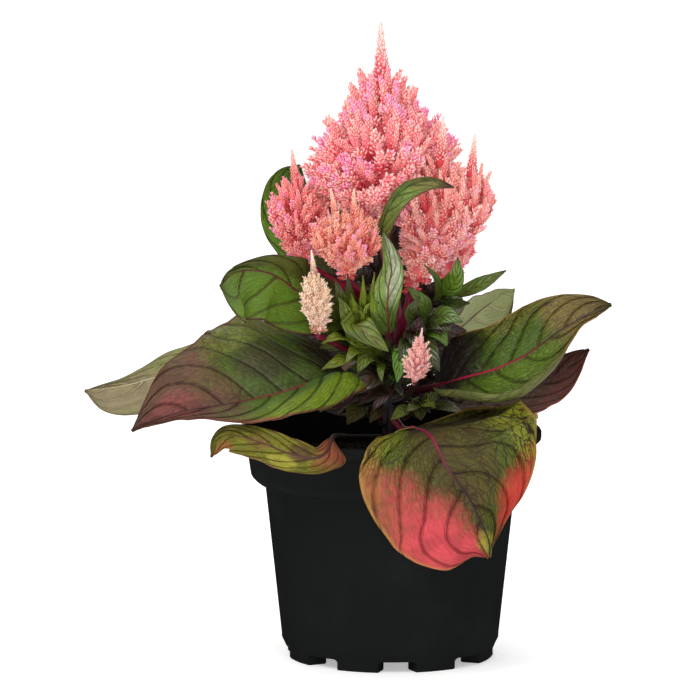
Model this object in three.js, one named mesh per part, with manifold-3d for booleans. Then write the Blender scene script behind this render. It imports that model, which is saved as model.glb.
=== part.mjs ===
// Plume celosia growing in a round nursery pot. Millimetres, +Z up. The origin is the middle of the
// pot's underside, and -Y is the front. The plant is one main stem with side branches. The stem carries
// large leaves, short leafy shoots and the plumes, and every piece is a mesh of its own.
import * as THREE from "three";
import { mergeVertices } from "three/addons/utils/BufferGeometryUtils.js";
import Module from "manifold-3d";

const wasm = await Module();
wasm.setup();

// ---------------------------------------------------------------- driving dimensions
const POT_HEIGHT = 91;
const POT_RIM_RADIUS = 60; // outside of the bead at the top
const POT_BASE_RADIUS = 41.2;
const POT_FLOOR_UNDERSIDE = 4.6; // the floor stands this far above the ground
const SOIL_TOP = 78;
const SEAT_GAP = 0.3; // clearance left where one piece seats on another
const BLADE_THICKNESS = 0.8;

const PLASTIC = { color: 0x17181a, roughness: 0.5, metalness: 0 };
const PEAT = { color: 0x1d1410, roughness: 1, metalness: 0 };
const STEM_RED = { color: 0x7a1230, roughness: 0.5, metalness: 0 };
const LEAF_GREEN = { color: 0x4a6b2a, roughness: 0.5, metalness: 0 };
const LEAF_OLIVE = { color: 0x77702f, roughness: 0.5, metalness: 0 };
const LEAF_RED = { color: 0xb04a3c, roughness: 0.55, metalness: 0 };
const LEAF_MAROON = { color: 0x4a2620, roughness: 0.55, metalness: 0 };
const PLUME_PINK = { color: 0xe8808c, roughness: 0.8, metalness: 0 };
const PLUME_CREAM = { color: 0xe6c4a8, roughness: 0.8, metalness: 0 };

// ---------------------------------------------------------------- small tools
const rad = THREE.MathUtils.degToRad;
const lerp = THREE.MathUtils.lerp;
const clamp = THREE.MathUtils.clamp;
const vec = (p) => new THREE.Vector3(...p);

// A repeatable number from 0 to 1 for each whole n, so that every build draws the same plant.
function draw(n) {
  const s = Math.sin(n * 12.9898 + 4.1414) * 43758.5453;
  return s - Math.floor(s);
}

// Reads a table of [position, value] rows with straight lines between them.
function table(rows, at) {
  const after = rows.findIndex((row) => row[0] >= at);
  if (after === 0) return rows[0][1];
  if (after < 0) return rows[rows.length - 1][1];
  const [low, high] = [rows[after - 1], rows[after]];
  return lerp(low[1], high[1], (at - low[0]) / (high[0] - low[0]));
}

// Reads values that are spread evenly from 0 to 1, or a single value.
function spread(values, at) {
  return table(values.map((value, i) => [i / (values.length - 1), value]), at);
}

// Reads a table of rows with a smooth curve through them.
function smoothTable(rows, at) {
  const slope = (i) => {
    const [low, high] = [rows[Math.max(i - 1, 0)], rows[Math.min(i + 1, rows.length - 1)]];
    return (high[1] - low[1]) / (high[0] - low[0]);
  };
  const i = clamp(rows.findIndex((row) => row[0] >= at) - 1, 0, rows.length - 2);
  const length = rows[i + 1][0] - rows[i][0];
  const t = (at - rows[i][0]) / length;
  return (
    (2 * t ** 3 - 3 * t ** 2 + 1) * rows[i][1] +
    (t ** 3 - 2 * t ** 2 + t) * length * slope(i) +
    (3 * t ** 2 - 2 * t ** 3) * rows[i + 1][1] +
    (t ** 3 - t ** 2) * length * slope(i + 1)
  );
}

function solidOf(geometry) {
  const bare = geometry.clone();
  bare.deleteAttribute("normal");
  bare.deleteAttribute("uv");
  const merged = mergeVertices(bare, 1e-3);
  return new wasm.Manifold(
    new wasm.Mesh({
      numProp: 3,
      vertProperties: new Float32Array(merged.attributes.position.array),
      triVerts: new Uint32Array(merged.index.array),
    }),
  );
}

function geometryOf(solid) {
  const mesh = solid.getMesh();
  const geometry = new THREE.BufferGeometry();
  geometry.setAttribute("position", new THREE.BufferAttribute(mesh.vertProperties, 3));
  geometry.setIndex(new THREE.BufferAttribute(mesh.triVerts, 1));
  geometry.computeVertexNormals();
  return geometry;
}

// The largest body of a solid: a union can leave crumbs that hang on to nothing.
function largestBody(solid) {
  return solid.decompose().sort((a, b) => b.volume() - a.volume())[0];
}

function fuse(geometries) {
  return largestBody(wasm.Manifold.union(geometries.map(solidOf)));
}

function indexedGeometry(points, faces) {
  const geometry = new THREE.BufferGeometry();
  geometry.setAttribute(
    "position",
    new THREE.Float32BufferAttribute(points.flatMap((p) => [p.x, p.y, p.z]), 3),
  );
  geometry.setIndex(faces.flat());
  return geometry;
}

// A closed body through rings that each hold a top row and a bottom row of points. Rows run from left
// to right, seen from the first ring with the top up. Both faces are split along the same diagonals, so
// a thin wavy blade never crosses itself.
function stripBody(rings) {
  const across = rings[0].top.length;
  const points = rings.flatMap((ring) => [...ring.top, ...ring.bottom]);
  const top = (i, k) => i * 2 * across + k;
  const bottom = (i, k) => top(i, k) + across;
  const faces = [];
  const quad = (a, b, c, d) => faces.push([a, b, c], [a, c, d]);
  const [end, last] = [rings.length - 1, across - 1];
  for (let i = 0; i < end; i++) {
    for (let k = 0; k < last; k++) {
      quad(top(i, k), top(i, k + 1), top(i + 1, k + 1), top(i + 1, k));
      quad(bottom(i, k), bottom(i + 1, k), bottom(i + 1, k + 1), bottom(i, k + 1));
    }
    quad(bottom(i, last), bottom(i + 1, last), top(i + 1, last), top(i, last));
    quad(top(i, 0), top(i + 1, 0), bottom(i + 1, 0), bottom(i, 0));
  }
  for (let k = 0; k < last; k++) {
    quad(bottom(0, k), bottom(0, k + 1), top(0, k + 1), top(0, k));
    quad(top(end, k), top(end, k + 1), bottom(end, k + 1), bottom(end, k));
  }
  return indexedGeometry(points, faces);
}

// A round rod that follows a curve, with a radius given at each of its stations.
function rod(points, radii, sides, steps) {
  const curve = new THREE.CatmullRomCurve3(points.map(vec), false, "catmullrom", 0.5);
  const frames = curve.computeFrenetFrames(steps, false);
  const ringPoints = [];
  const faces = [];
  for (let i = 0; i <= steps; i++) {
    const centre = curve.getPointAt(i / steps);
    const radius = table(radii, i / steps);
    for (let j = 0; j < sides; j++) {
      const turn = (2 * Math.PI * j) / sides;
      const out = frames.normals[i].clone().multiplyScalar(Math.cos(turn) * radius);
      out.addScaledVector(frames.binormals[i], Math.sin(turn) * radius);
      ringPoints.push(out.add(centre));
    }
  }
  const at = (i, j) => i * sides + (j % sides);
  for (let i = 0; i < steps; i++) {
    for (let j = 0; j < sides; j++) {
      faces.push([at(i, j), at(i, j + 1), at(i + 1, j + 1)], [at(i, j), at(i + 1, j + 1), at(i + 1, j)]);
    }
  }
  for (let j = 1; j < sides - 1; j++) {
    faces.push([at(0, 0), at(0, j + 1), at(0, j)], [at(steps, 0), at(steps, j), at(steps, j + 1)]);
  }
  return indexedGeometry(ringPoints, faces);
}

const plant = new THREE.Group();
function add(name, geometry, material) {
  const mesh = new THREE.Mesh(geometry, new THREE.MeshStandardMaterial(material));
  mesh.name = name;
  plant.add(mesh);
}

// ---------------------------------------------------------------- pot
// Injection-moulded nursery pot: a tapered wall, a deep stacking rim with a bead, a floor held off the
// ground, and a foot ring cut by eight drainage arches.
const POT_OUTSIDE = [
  [POT_BASE_RADIUS, 0],
  [POT_BASE_RADIUS, 3.2],
  [43, 7.5],
  [49.7, 68.5],
  [51.8, 69.7],
  [55.3, 72.8],
  [57.3, 86],
  [59.4, 86.6],
  [POT_RIM_RADIUS, 87.8],
  [POT_RIM_RADIUS - 0.3, POT_HEIGHT - 0.6],
  [POT_RIM_RADIUS - 1.3, POT_HEIGHT],
];
const POT_INSIDE = [
  [56.2, POT_HEIGHT],
  [54.2, 73.8],
  [48.5, 69.4],
  [41.6, 8.4],
  [39.8, 6.2],
];
const potInnerRadius = (z) => table([...POT_INSIDE].reverse().map(([r, h]) => [h, r]), z);
const POT_SEGMENTS = 40;
const ARCHES = 8;
const ARCH_TURN = 3.5; // degrees from the front to the nearest arch
const FOOT_RING_WIDTH = 8;
const CENTRE_PAD_RADIUS = 10;
const DRAIN_HOLE_RADIUS = 3;
const DRAIN_HOLE_CIRCLE = 28;

function potGeometry() {
  const innerFloor = POT_INSIDE[POT_INSIDE.length - 1][1];
  const footInner = POT_BASE_RADIUS - FOOT_RING_WIDTH;
  const underside = [
    [0, 0],
    [CENTRE_PAD_RADIUS, 0],
    [CENTRE_PAD_RADIUS, POT_FLOOR_UNDERSIDE],
    [footInner, POT_FLOOR_UNDERSIDE],
    [footInner, 0],
  ];
  const profile = [...underside, ...POT_OUTSIDE, ...POT_INSIDE, [0, innerFloor]];
  const turned = new THREE.LatheGeometry(
    profile.map(([r, z]) => new THREE.Vector2(r, z)),
    POT_SEGMENTS,
  );
  turned.rotateX(Math.PI / 2);
  let pot = solidOf(turned);
  const arch = new THREE.Shape();
  arch.moveTo(POT_BASE_RADIUS + 3, -9.6);
  arch.lineTo(POT_BASE_RADIUS + 3, 9.6);
  arch.lineTo(POT_BASE_RADIUS - 0.6, 9.3);
  arch.quadraticCurveTo(POT_BASE_RADIUS - 4, 4.4, footInner - 2, 4.2);
  arch.lineTo(footInner - 2, -4.2);
  arch.quadraticCurveTo(POT_BASE_RADIUS - 4, -4.4, POT_BASE_RADIUS - 0.6, -9.3);
  const cutter = new THREE.ExtrudeGeometry(arch, {
    depth: POT_FLOOR_UNDERSIDE + 2,
    bevelEnabled: false,
    curveSegments: 2,
  });
  const hole = new THREE.CylinderGeometry(DRAIN_HOLE_RADIUS, DRAIN_HOLE_RADIUS, 20, 6);
  hole.rotateX(Math.PI / 2).translate(DRAIN_HOLE_CIRCLE, 0, 5);
  for (let i = 0; i < ARCHES; i++) {
    const turn = rad(-90 + ARCH_TURN + (360 / ARCHES) * i);
    const archCut = cutter.clone().translate(0, 0, -2).rotateZ(turn);
    pot = pot.subtract(solidOf(archCut)).subtract(solidOf(hole.clone().rotateZ(turn)));
  }
  return geometryOf(pot);
}
add("pot", potGeometry(), PLASTIC);

// ---------------------------------------------------------------- main stem and branches
// One crimson stem that rises from the soil and forks into a thin branch for each side plume.
const STEM_FOOT = 50;
const STEM_PATH = [
  [0.2, 0.2, STEM_FOOT],
  [0.2, 0, SOIL_TOP],
  [0.8, -0.4, 100],
  [2.2, 0, 125],
  [0.4, 2, 150],
  [-4.4, 5, 176],
];
const STEM_RADII = [
  [0, 3.6],
  [0.25, 3.6],
  [0.5, 3.1],
  [1, 2.2],
];
const stemCurve = new THREE.CatmullRomCurve3(STEM_PATH.map(vec), false, "catmullrom", 0.5);

// The middle of the stem and its radius at a height.
function stemAt(z) {
  let [low, high] = [0, 1];
  for (let i = 0; i < 24; i++) {
    const middle = (low + high) / 2;
    if (stemCurve.getPointAt(middle).z < z) low = middle;
    else high = middle;
  }
  return { centre: stemCurve.getPointAt(low), radius: table(STEM_RADII, low) };
}

// Where a stalk of a given radius that heads for a point starts, just off the stem's skin.
function stemSeat(z, toward, stalkRadius) {
  const { centre, radius } = stemAt(z);
  const way = vec(toward).sub(centre);
  const out = new THREE.Vector3(way.x, way.y, 0).normalize();
  const tilt = Math.sqrt(Math.max(0, 1 - way.normalize().dot(out) ** 2));
  return centre.addScaledVector(out, radius + SEAT_GAP + stalkRadius * tilt).toArray();
}

// Side branches: the height where each leaves the stem, a bend, and the end that carries a plume.
const BRANCHES = {
  right: { from: 124, bend: [6, -7.5, 137], end: [9, -10, 150], radius: 1.7 },
  left: { from: 137, bend: [-18, 1, 147], end: [-35.5, -4, 158.5], radius: 1.3 },
  front: { from: 131, bend: [-8, -14, 142], end: [-17, -26, 153], radius: 1.5 },
  cream: { from: 117, bend: [-13, -18, 123], end: [-29.3, -37, 133], radius: 1.1 },
  small: { from: 101, bend: [6, -20, 106], end: [9.4, -38, 115], radius: 1 },
  rear: { from: 141, bend: [-1, 19, 149], end: [-6, 36, 158.5], radius: 1.5 },
  rear_right: { from: 132, bend: [12, 9, 140], end: [22, 18, 148], radius: 1.4 },
};
const STEM_SIDES = 8;
const BRANCH_SIDES = 5;

// The stem with its branches, grown all round by a clearance.
function stemSolid(clearance) {
  const grown = (rows) => rows.map(([at, radius]) => [at, radius + clearance]);
  const pieces = [rod(raised(STEM_PATH, clearance), grown(STEM_RADII), STEM_SIDES, 9)];
  for (const { from, bend, end, radius } of Object.values(BRANCHES)) {
    const root = stemAt(from).centre.toArray();
    const path = raised([root, bend, end], clearance);
    pieces.push(rod(path, grown([[0, radius * 1.15], [1, radius]]), BRANCH_SIDES, 4));
  }
  return fuse(pieces);
}

// A path whose last point is moved on by a length.
function raised(path, length) {
  const [before, end] = path.slice(-2).map(vec);
  const onward = end.clone().sub(before).setLength(length);
  return [...path.slice(0, -1), end.add(onward).toArray()];
}
add("main_stem", geometryOf(stemSolid(0)), STEM_RED);

// ---------------------------------------------------------------- soil
// Peat mix pressed into the pot, a little below the rim, with the hole that the stem stands in.
const SOIL_SEGMENTS = 20;
const SOIL_RINGS = [11, 22, 34, 45];
const STEM_HOLE_RADIUS = STEM_RADII[0][1] + SEAT_GAP + 0.4;

function soilGeometry() {
  const floor = POT_INSIDE[POT_INSIDE.length - 1][1] + SEAT_GAP;
  const wall = (z) => [potInnerRadius(z) - SEAT_GAP - 0.4, z];
  const edge = potInnerRadius(SOIL_TOP) - SEAT_GAP - 0.4;
  const profile = [
    [0, floor],
    wall(floor),
    wall(9),
    wall(68.5),
    [potInnerRadius(70) - 0.9, 70],
    [edge, 74.5],
    [edge, SOIL_TOP - 1.5],
    ...SOIL_RINGS.map((r) => [r, SOIL_TOP]).reverse(),
    [STEM_HOLE_RADIUS, SOIL_TOP],
    [STEM_HOLE_RADIUS, STEM_FOOT - SEAT_GAP],
    [0, STEM_FOOT - SEAT_GAP],
  ];
  const soil = new THREE.LatheGeometry(
    profile.map(([r, z]) => new THREE.Vector2(r, z)),
    SOIL_SEGMENTS,
  );
  soil.rotateX(Math.PI / 2);
  const position = soil.attributes.position;
  for (let i = 0; i < position.count; i++) {
    const [x, y, z] = [position.getX(i), position.getY(i), position.getZ(i)];
    const r = Math.hypot(x, y);
    if (z < SOIL_TOP - 0.1 || r < STEM_HOLE_RADIUS + 1) continue;
    const lumps = Math.sin(x * 0.41 + 1.3) * Math.cos(y * 0.37 - 0.6) + Math.sin(x * 0.93 - y * 0.71);
    position.setZ(i, z + 0.9 * lumps + 1.2 * (1 - r / edge));
  }
  return geometryOf(solidOf(soil));
}
add("soil", soilGeometry(), PEAT);

// ---------------------------------------------------------------- leaves
// A leaf is a stalk that widens into a thin blade along one spine. from is the height on the stem where
// the stalk seats, and stalk is the stalk's share of the whole length. faces lists where the upper
// surface looks, from the blade's base to its tip. left and right are the halves of the blade as seen
// from the stem. Each has its widths at WIDTH_STATIONS, its fold up from the midrib and its further cup
// towards the edge, in degrees from base to tip, a lobe that sweeps its base back past the stalk, and
// sometimes an apron that hangs past the tip. wave is the height of the edge's waves.
const WIDTH_STATIONS = [0, 0.07, 0.2, 0.4, 0.6, 0.8, 0.93, 1];
const LEAVES = {
  leaf_left_front: {
    from: 108, stalk: 0.2, stalkRadius: 1.5, faces: [[0.1, -0.65, 0.7], [-0.05, -0.8, 0.6]],
    spine: [
      [-15, -14, 113.5], [-26, -22, 114], [-38, -36, 111.5], [-50, -48, 110],
      [-63.5, -60, 109], [-78.5, -67, 107.5], [-90.5, -71, 104.5], [-99.5, -73, 100.5],
    ],
    left: { widths: [16, 20, 18, 13, 4.5, 1.5], fold: [75, 25, 15], cup: [-150, -20, 0], lobe: 10 },
    right: { widths: [17, 31, 34, 29.5, 20, 6.5], fold: [20, 22, 15], cup: [-20, -30, 0], lobe: 4 },
    wave: 1.2, waves: 3, section: "fine", material: LEAF_GREEN,
  },
  leaf_left_rear: {
    from: 103, stalk: 0.24, stalkRadius: 1.3, faces: [[0, -0.4, 0.9], [-0.1, -0.6, 0.8]],
    spine: [
      [-16, 8, 108.5], [-29, 14, 110.5], [-56, 20, 112.5], [-84, 24, 110],
      [-106.5, 24, 104.5], [-122.5, 24, 102.5],
    ],
    left: { widths: [10, 20, 26, 27, 21, 14], fold: [8, 8, 8], cup: [0, 0, 0], lobe: 3 },
    right: { widths: [10, 17, 17, 14, 5, 2], fold: [8, 8, 8], cup: [0, 0, 0], lobe: 3 },
    wave: 1.2, waves: 2, section: "plain", material: LEAF_OLIVE,
  },
  leaf_left_upper: {
    from: 128, stalk: 0.25, stalkRadius: 1.3, faces: [[0.1, -0.65, 0.7], [-0.1, -1, 0.3]],
    spine: [
      [-15, -12, 136.5], [-27, -18, 142.5], [-36, -27, 148.5], [-45.5, -34, 156],
      [-55, -39, 158.5], [-61.5, -44, 157.5], [-66, -50, 153.5],
    ],
    left: { widths: [7, 11, 13.5, 17.5, 19, 16.3], fold: [2, 0, 0], cup: [10, 10, 0], lobe: 3, apron: 26 },
    right: { widths: [9, 14, 14, 8.5, 3, 1.5], fold: [10, 10, 5], cup: [-10, -10, 0], lobe: 3 },
    wave: 0.8, waves: 2, section: "fine", material: LEAF_GREEN,
  },
  leaf_upper_rear: {
    from: 146, stalk: 0.33, stalkRadius: 1.2, faces: [[0.3, -0.9, 0.2], [0.3, -0.9, -0.1]],
    spine: [
      [-15, 12, 146.5], [-28, 20, 155], [-35, 25, 161.5], [-39.5, 28, 169],
      [-41, 31, 178.5], [-39.5, 33, 186.5], [-36, 34, 192.5],
    ],
    left: { widths: [7, 11, 11, 12, 10, 5], fold: [6, 6, 6], cup: [-8, -8, 0], lobe: 3 },
    right: { widths: [6, 10, 12, 12, 10, 5], fold: [6, 6, 6], cup: [0, 0, 0], lobe: 3 },
    wave: 0.9, waves: 3, section: "plain", material: LEAF_GREEN,
  },
  leaf_upright: {
    from: 120, stalk: 0.26, stalkRadius: 1.1, faces: [[0.2, -0.95, 0.2], [0.3, -0.95, 0.2]],
    spine: [
      [-1, -13, 128.5], [-1, -22, 136], [-1.5, -27, 143.5], [-1, -29, 151],
      [0, -31.5, 158.5], [-1.5, -33.5, 166.5], [-3, -34.5, 172.5],
    ],
    left: { widths: [4, 5.5, 7, 5.5, 2.6, 1.6], fold: [10, 10, 0], cup: [0, 0, 0], lobe: 1 },
    right: { widths: [2.4, 2.8, 4.8, 5.5, 3.8, 1.8], fold: [20, 10, -20], cup: [0, 0, 0], lobe: 1 },
    wave: 0.4, waves: 2, section: "plain", material: LEAF_GREEN,
  },
  leaf_arching: {
    from: 148, stalk: 0.33, stalkRadius: 1, faces: [[-0.6, -0.8, 0.1], [-0.1, -0.85, 0.55]],
    spine: [
      [-1, -15, 159.5], [-3.5, -20, 169], [-2, -26.5, 178.5], [3, -32.5, 187.5],
      [9.5, -36, 192], [17, -38, 193], [24, -41, 191],
    ],
    left: { widths: [1.5, 1.8, 2, 2.2, 1.8, 0.9], fold: [20, 20, 10], cup: [0, 0, 0], lobe: 1 },
    right: { widths: [3, 6, 7.5, 7, 5, 2.5], fold: [20, 20, 20], cup: [0, 0, 0], lobe: 1 },
    wave: 0.4, waves: 2, section: "plain", material: LEAF_GREEN,
  },
  leaf_right_large: {
    from: 106, stalk: 0.2, stalkRadius: 1.6, faces: [[-0.25, -0.65, 0.7], [-0.1, -0.9, 0.4]],
    spine: [
      [15, -9, 108], [22, -16, 111], [28.5, -22, 114], [38.5, -28, 117.5], [45, -31, 120.5],
      [54, -34, 125.5], [65.5, -37, 134.5], [77, -38, 141.5], [85.5, -38, 145],
    ],
    left: { widths: [15, 18, 17, 17, 12.5, 6], fold: [20, 15, 5], cup: [10, 10, 0], lobe: 5 },
    right: { widths: [6, 16, 25, 18.5, 4.5, 2.5], fold: [14, 10, 5], cup: [20, 20, 10], lobe: 4 },
    wave: 1, waves: 3, section: "fine", material: LEAF_GREEN,
  },
  leaf_right_rear: {
    from: 117, stalk: 0.35, stalkRadius: 1.2, faces: [[-0.3, 0.6, 0.75], [-0.2, 0.6, 0.8]],
    spine: [
      [14, 14, 119.5], [22.5, 24, 124], [29, 31, 128],
      [36.5, 38, 133.5], [44, 43, 138], [50.5, 46, 141],
    ],
    left: { widths: [8, 12, 15, 17, 15, 8], fold: [0, -25, -40], cup: [0, 0, 0], lobe: 3 },
    right: { widths: [8, 12, 14, 11, 6, 2], fold: [8, 8, 8], cup: [0, 0, 0], lobe: 3 },
    wave: 0.8, waves: 2, section: "plain", material: LEAF_OLIVE,
  },
  leaf_right_low: {
    from: 99, stalk: 0.25, stalkRadius: 1.3, faces: [[-0.2, -0.5, 0.85], [-0.2, -0.8, 0.5]],
    spine: [
      [15, 14, 98], [27.5, 24, 95.5], [44.5, 32, 96.5],
      [56.5, 36, 100.5], [69, 38, 108], [80.5, 38, 117.5],
    ],
    left: { widths: [8, 14, 16, 10, 7, 3.5], fold: [10, 10, 10], cup: [5, 5, 5], lobe: 3 },
    right: { widths: [8, 13, 15, 15, 10, 4], fold: [16, 16, 8], cup: [0, 0, 0], lobe: 3 },
    wave: 0.9, waves: 3, section: "plain", material: LEAF_MAROON,
  },
  leaf_front: {
    from: 94, stalk: 0.22, stalkRadius: 1.7,
    faces: [[0.1, -0.5, 0.85], [0.1, -0.95, 0.3], [0.15, -1, 0.05]],
    spine: [
      [5.5, -14, 92], [10.5, -34, 95.5], [15.5, -56, 95.5], [20.5, -68, 87],
      [29, -73, 75.5], [34, -74, 65.5], [37, -74, 58.5], [37.5, -73, 51.5],
    ],
    left: { widths: [24, 35, 39, 39.5, 20, 2.5], fold: [3, 2, 0], cup: [0, 0, 0], lobe: 12 },
    right: { widths: [10, 18, 31, 35, 28, 13], fold: [0, -2, 0], cup: [0, 0, 0], lobe: -8, apron: 13 },
    wave: 1.2, waves: 3, section: "fine", material: LEAF_RED,
  },
  leaf_front_left: {
    from: 88, stalk: 0.5, stalkRadius: 1.3,
    faces: [[0, -0.6, 0.8], [-0.1, -0.8, 0.6], [-0.4, -0.9, 0.1]],
    spine: [
      [-15, -30, 92], [-21, -50, 95.5], [-23, -59, 95.5], [-25, -65, 91.5], [-29, -67.5, 89.2],
      [-36, -67.5, 90.2], [-43, -67, 92.2], [-50, -66, 95], [-61.5, -65, 98], [-66.5, -64, 95.7],
      [-69.5, -63, 89],
    ],
    left: { widths: [9, 6.2, 7, 7, 6.6, 3], fold: [-55, -10, 0], cup: [0, 0, 0], lobe: 1 },
    right: { widths: [3, 5.5, 6.5, 6.2, 3.8, 2], fold: [0, 0, 0], cup: [0, 0, 0], lobe: 1 },
    wave: 0.8, waves: 2, section: "plain", material: LEAF_OLIVE,
  },
  leaf_back: {
    from: 110, stalk: 0.22, stalkRadius: 1.5, faces: [[0, 0.4, 0.9], [0, 0.8, 0.5]],
    spine: [[-2, 18, 117.5], [-5, 40, 122], [-8, 62, 118], [-11, 80, 107], [-13, 92, 94]],
    left: { widths: [13, 22, 26, 23, 14, 6], fold: [16, 12, 5], cup: [-10, -10, 0], lobe: 6 },
    right: { widths: [13, 22, 26, 23, 14, 6], fold: [16, 12, 5], cup: [-10, -10, 0], lobe: 6 },
    wave: 1.4, waves: 3, section: "fine", material: LEAF_GREEN,
  },
  leaf_back_left: {
    from: 95, stalk: 0.24, stalkRadius: 1.4, faces: [[-0.2, 0.3, 0.9], [-0.4, 0.6, 0.6]],
    spine: [[-12, 18, 99], [-26, 38, 100], [-41, 56, 97], [-52, 68, 89], [-60, 76, 78]],
    left: { widths: [11, 19, 21, 18, 10, 4], fold: [12, 8, 5], cup: [0, 0, 0], lobe: 4 },
    right: { widths: [11, 19, 21, 18, 10, 4], fold: [12, 8, 5], cup: [0, 0, 0], lobe: 4 },
    wave: 1.2, waves: 3, section: "plain", material: LEAF_RED,
  },
  leaf_back_right: {
    from: 124, stalk: 0.28, stalkRadius: 1.3, faces: [[-0.1, 0.3, 0.9], [0.1, 0.6, 0.7]],
    spine: [[6, 17, 130], [12, 35, 134], [18, 50, 132], [23, 62, 125], [27, 70, 116]],
    left: { widths: [7, 12, 14, 12, 8, 3], fold: [14, 10, 5], cup: [0, 0, 0], lobe: 4 },
    right: { widths: [7, 12, 14, 12, 8, 3], fold: [14, 10, 5], cup: [0, 0, 0], lobe: 4 },
    wave: 1, waves: 2, section: "plain", material: LEAF_GREEN,
  },
};

// Where a blade or a stalk has its points from the left edge to the right edge, and how many stations
// each of the two has along its length.
const SECTIONS = {
  fine: { across: [1, 0.55, 0.08, -0.08, -0.55, -1], along: 10, stalkSteps: 2 },
  plain: { across: [1, 0.5, 0, -0.5, -1], along: 8, stalkSteps: 2 },
  small: { across: [1, 0, -1], along: 3, stalkSteps: 1 },
};
const KEEL = 1.3; // how far the midrib stands below the blade, in stalk radii

function leafGeometry(leaf, start) {
  const section = SECTIONS[leaf.section];
  const curve = new THREE.CatmullRomCurve3([start, ...leaf.spine].map(vec), false, "catmullrom", 0.5);
  curve.arcLengthDivisions = 400;
  const faces = leaf.faces.map((face) => vec(face).normalize());
  const stations = [];
  for (let i = 0; i < section.stalkSteps; i++) stations.push((leaf.stalk * i) / section.stalkSteps);
  for (let i = 0; i <= section.along; i++) {
    stations.push(lerp(leaf.stalk, 1, 0.995 * (i / section.along) ** 1.1));
  }
  const rings = stations.map((station) => {
    const u = clamp((station - leaf.stalk) / (1 - leaf.stalk), 0, 1);
    const onBlade = station >= leaf.stalk ? 1 : 0;
    const centre = curve.getPointAt(station);
    const along = curve.getTangentAt(station);
    const part = Math.min(Math.floor(u * (faces.length - 1)), faces.length - 2);
    const face = faces[part].clone().lerp(faces[part + 1], u * (faces.length - 1) - part);
    const side = face.cross(along).normalize();
    const up = along.clone().cross(side);
    const stalkHalf = leaf.stalkRadius * (1 - 0.75 * u);
    const ring = { top: [], bottom: [] };
    for (const v of section.across) {
      const half = v >= 0 ? leaf.left : leaf.right;
      const reach = Math.abs(v);
      const widths = [0, ...half.widths, 0].map((width, i) => [WIDTH_STATIONS[i], width]);
      const width = Math.max(onBlade * smoothTable(widths, u), stalkHalf);
      const [fold, cup] = [spread(half.fold, u) * onBlade, spread(half.cup, u) * onBlade];
      const chord = rad(fold + (cup * reach ** 2) / 3);
      const lean = rad(fold + cup * reach ** 2) * Math.min(1, reach * 4);
      const ripple = Math.sin(2 * Math.PI * (leaf.waves * u + (v > 0 ? 0.1 : 0.45)));
      const out = up.clone().multiplyScalar(Math.cos(lean));
      out.addScaledVector(side, -Math.sign(v) * Math.sin(lean));
      const sweep = (half.apron ?? 0) * u ** 5 * Math.min(1, width / 20) - half.lobe * (1 - u) ** 3;
      const middle = centre.clone();
      middle.addScaledVector(side, v * width * Math.cos(chord));
      middle.addScaledVector(up, reach * width * Math.sin(chord));
      middle.addScaledVector(along, sweep * reach ** 1.5 * onBlade);
      middle.addScaledVector(out, onBlade * leaf.wave * reach ** 2 * ripple * Math.sin(Math.PI * u));
      const blade = BLADE_THICKNESS / 2;
      const round = Math.max(stalkHalf * (1 - 0.6 * reach), blade);
      const keel = reach < 0.1 ? Math.max(stalkHalf * KEEL, blade) : blade;
      ring.top.push(middle.clone().addScaledVector(out, onBlade ? blade : round));
      ring.bottom.push(middle.clone().addScaledVector(out, -(onBlade ? keel : round)));
    }
    return ring;
  });
  return stripBody(rings);
}

for (const [name, leaf] of Object.entries(LEAVES)) {
  const start = stemSeat(leaf.from, leaf.spine[0], leaf.stalkRadius);
  add(name, geometryOf(solidOf(leafGeometry(leaf, start))), leaf.material);
}

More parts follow.
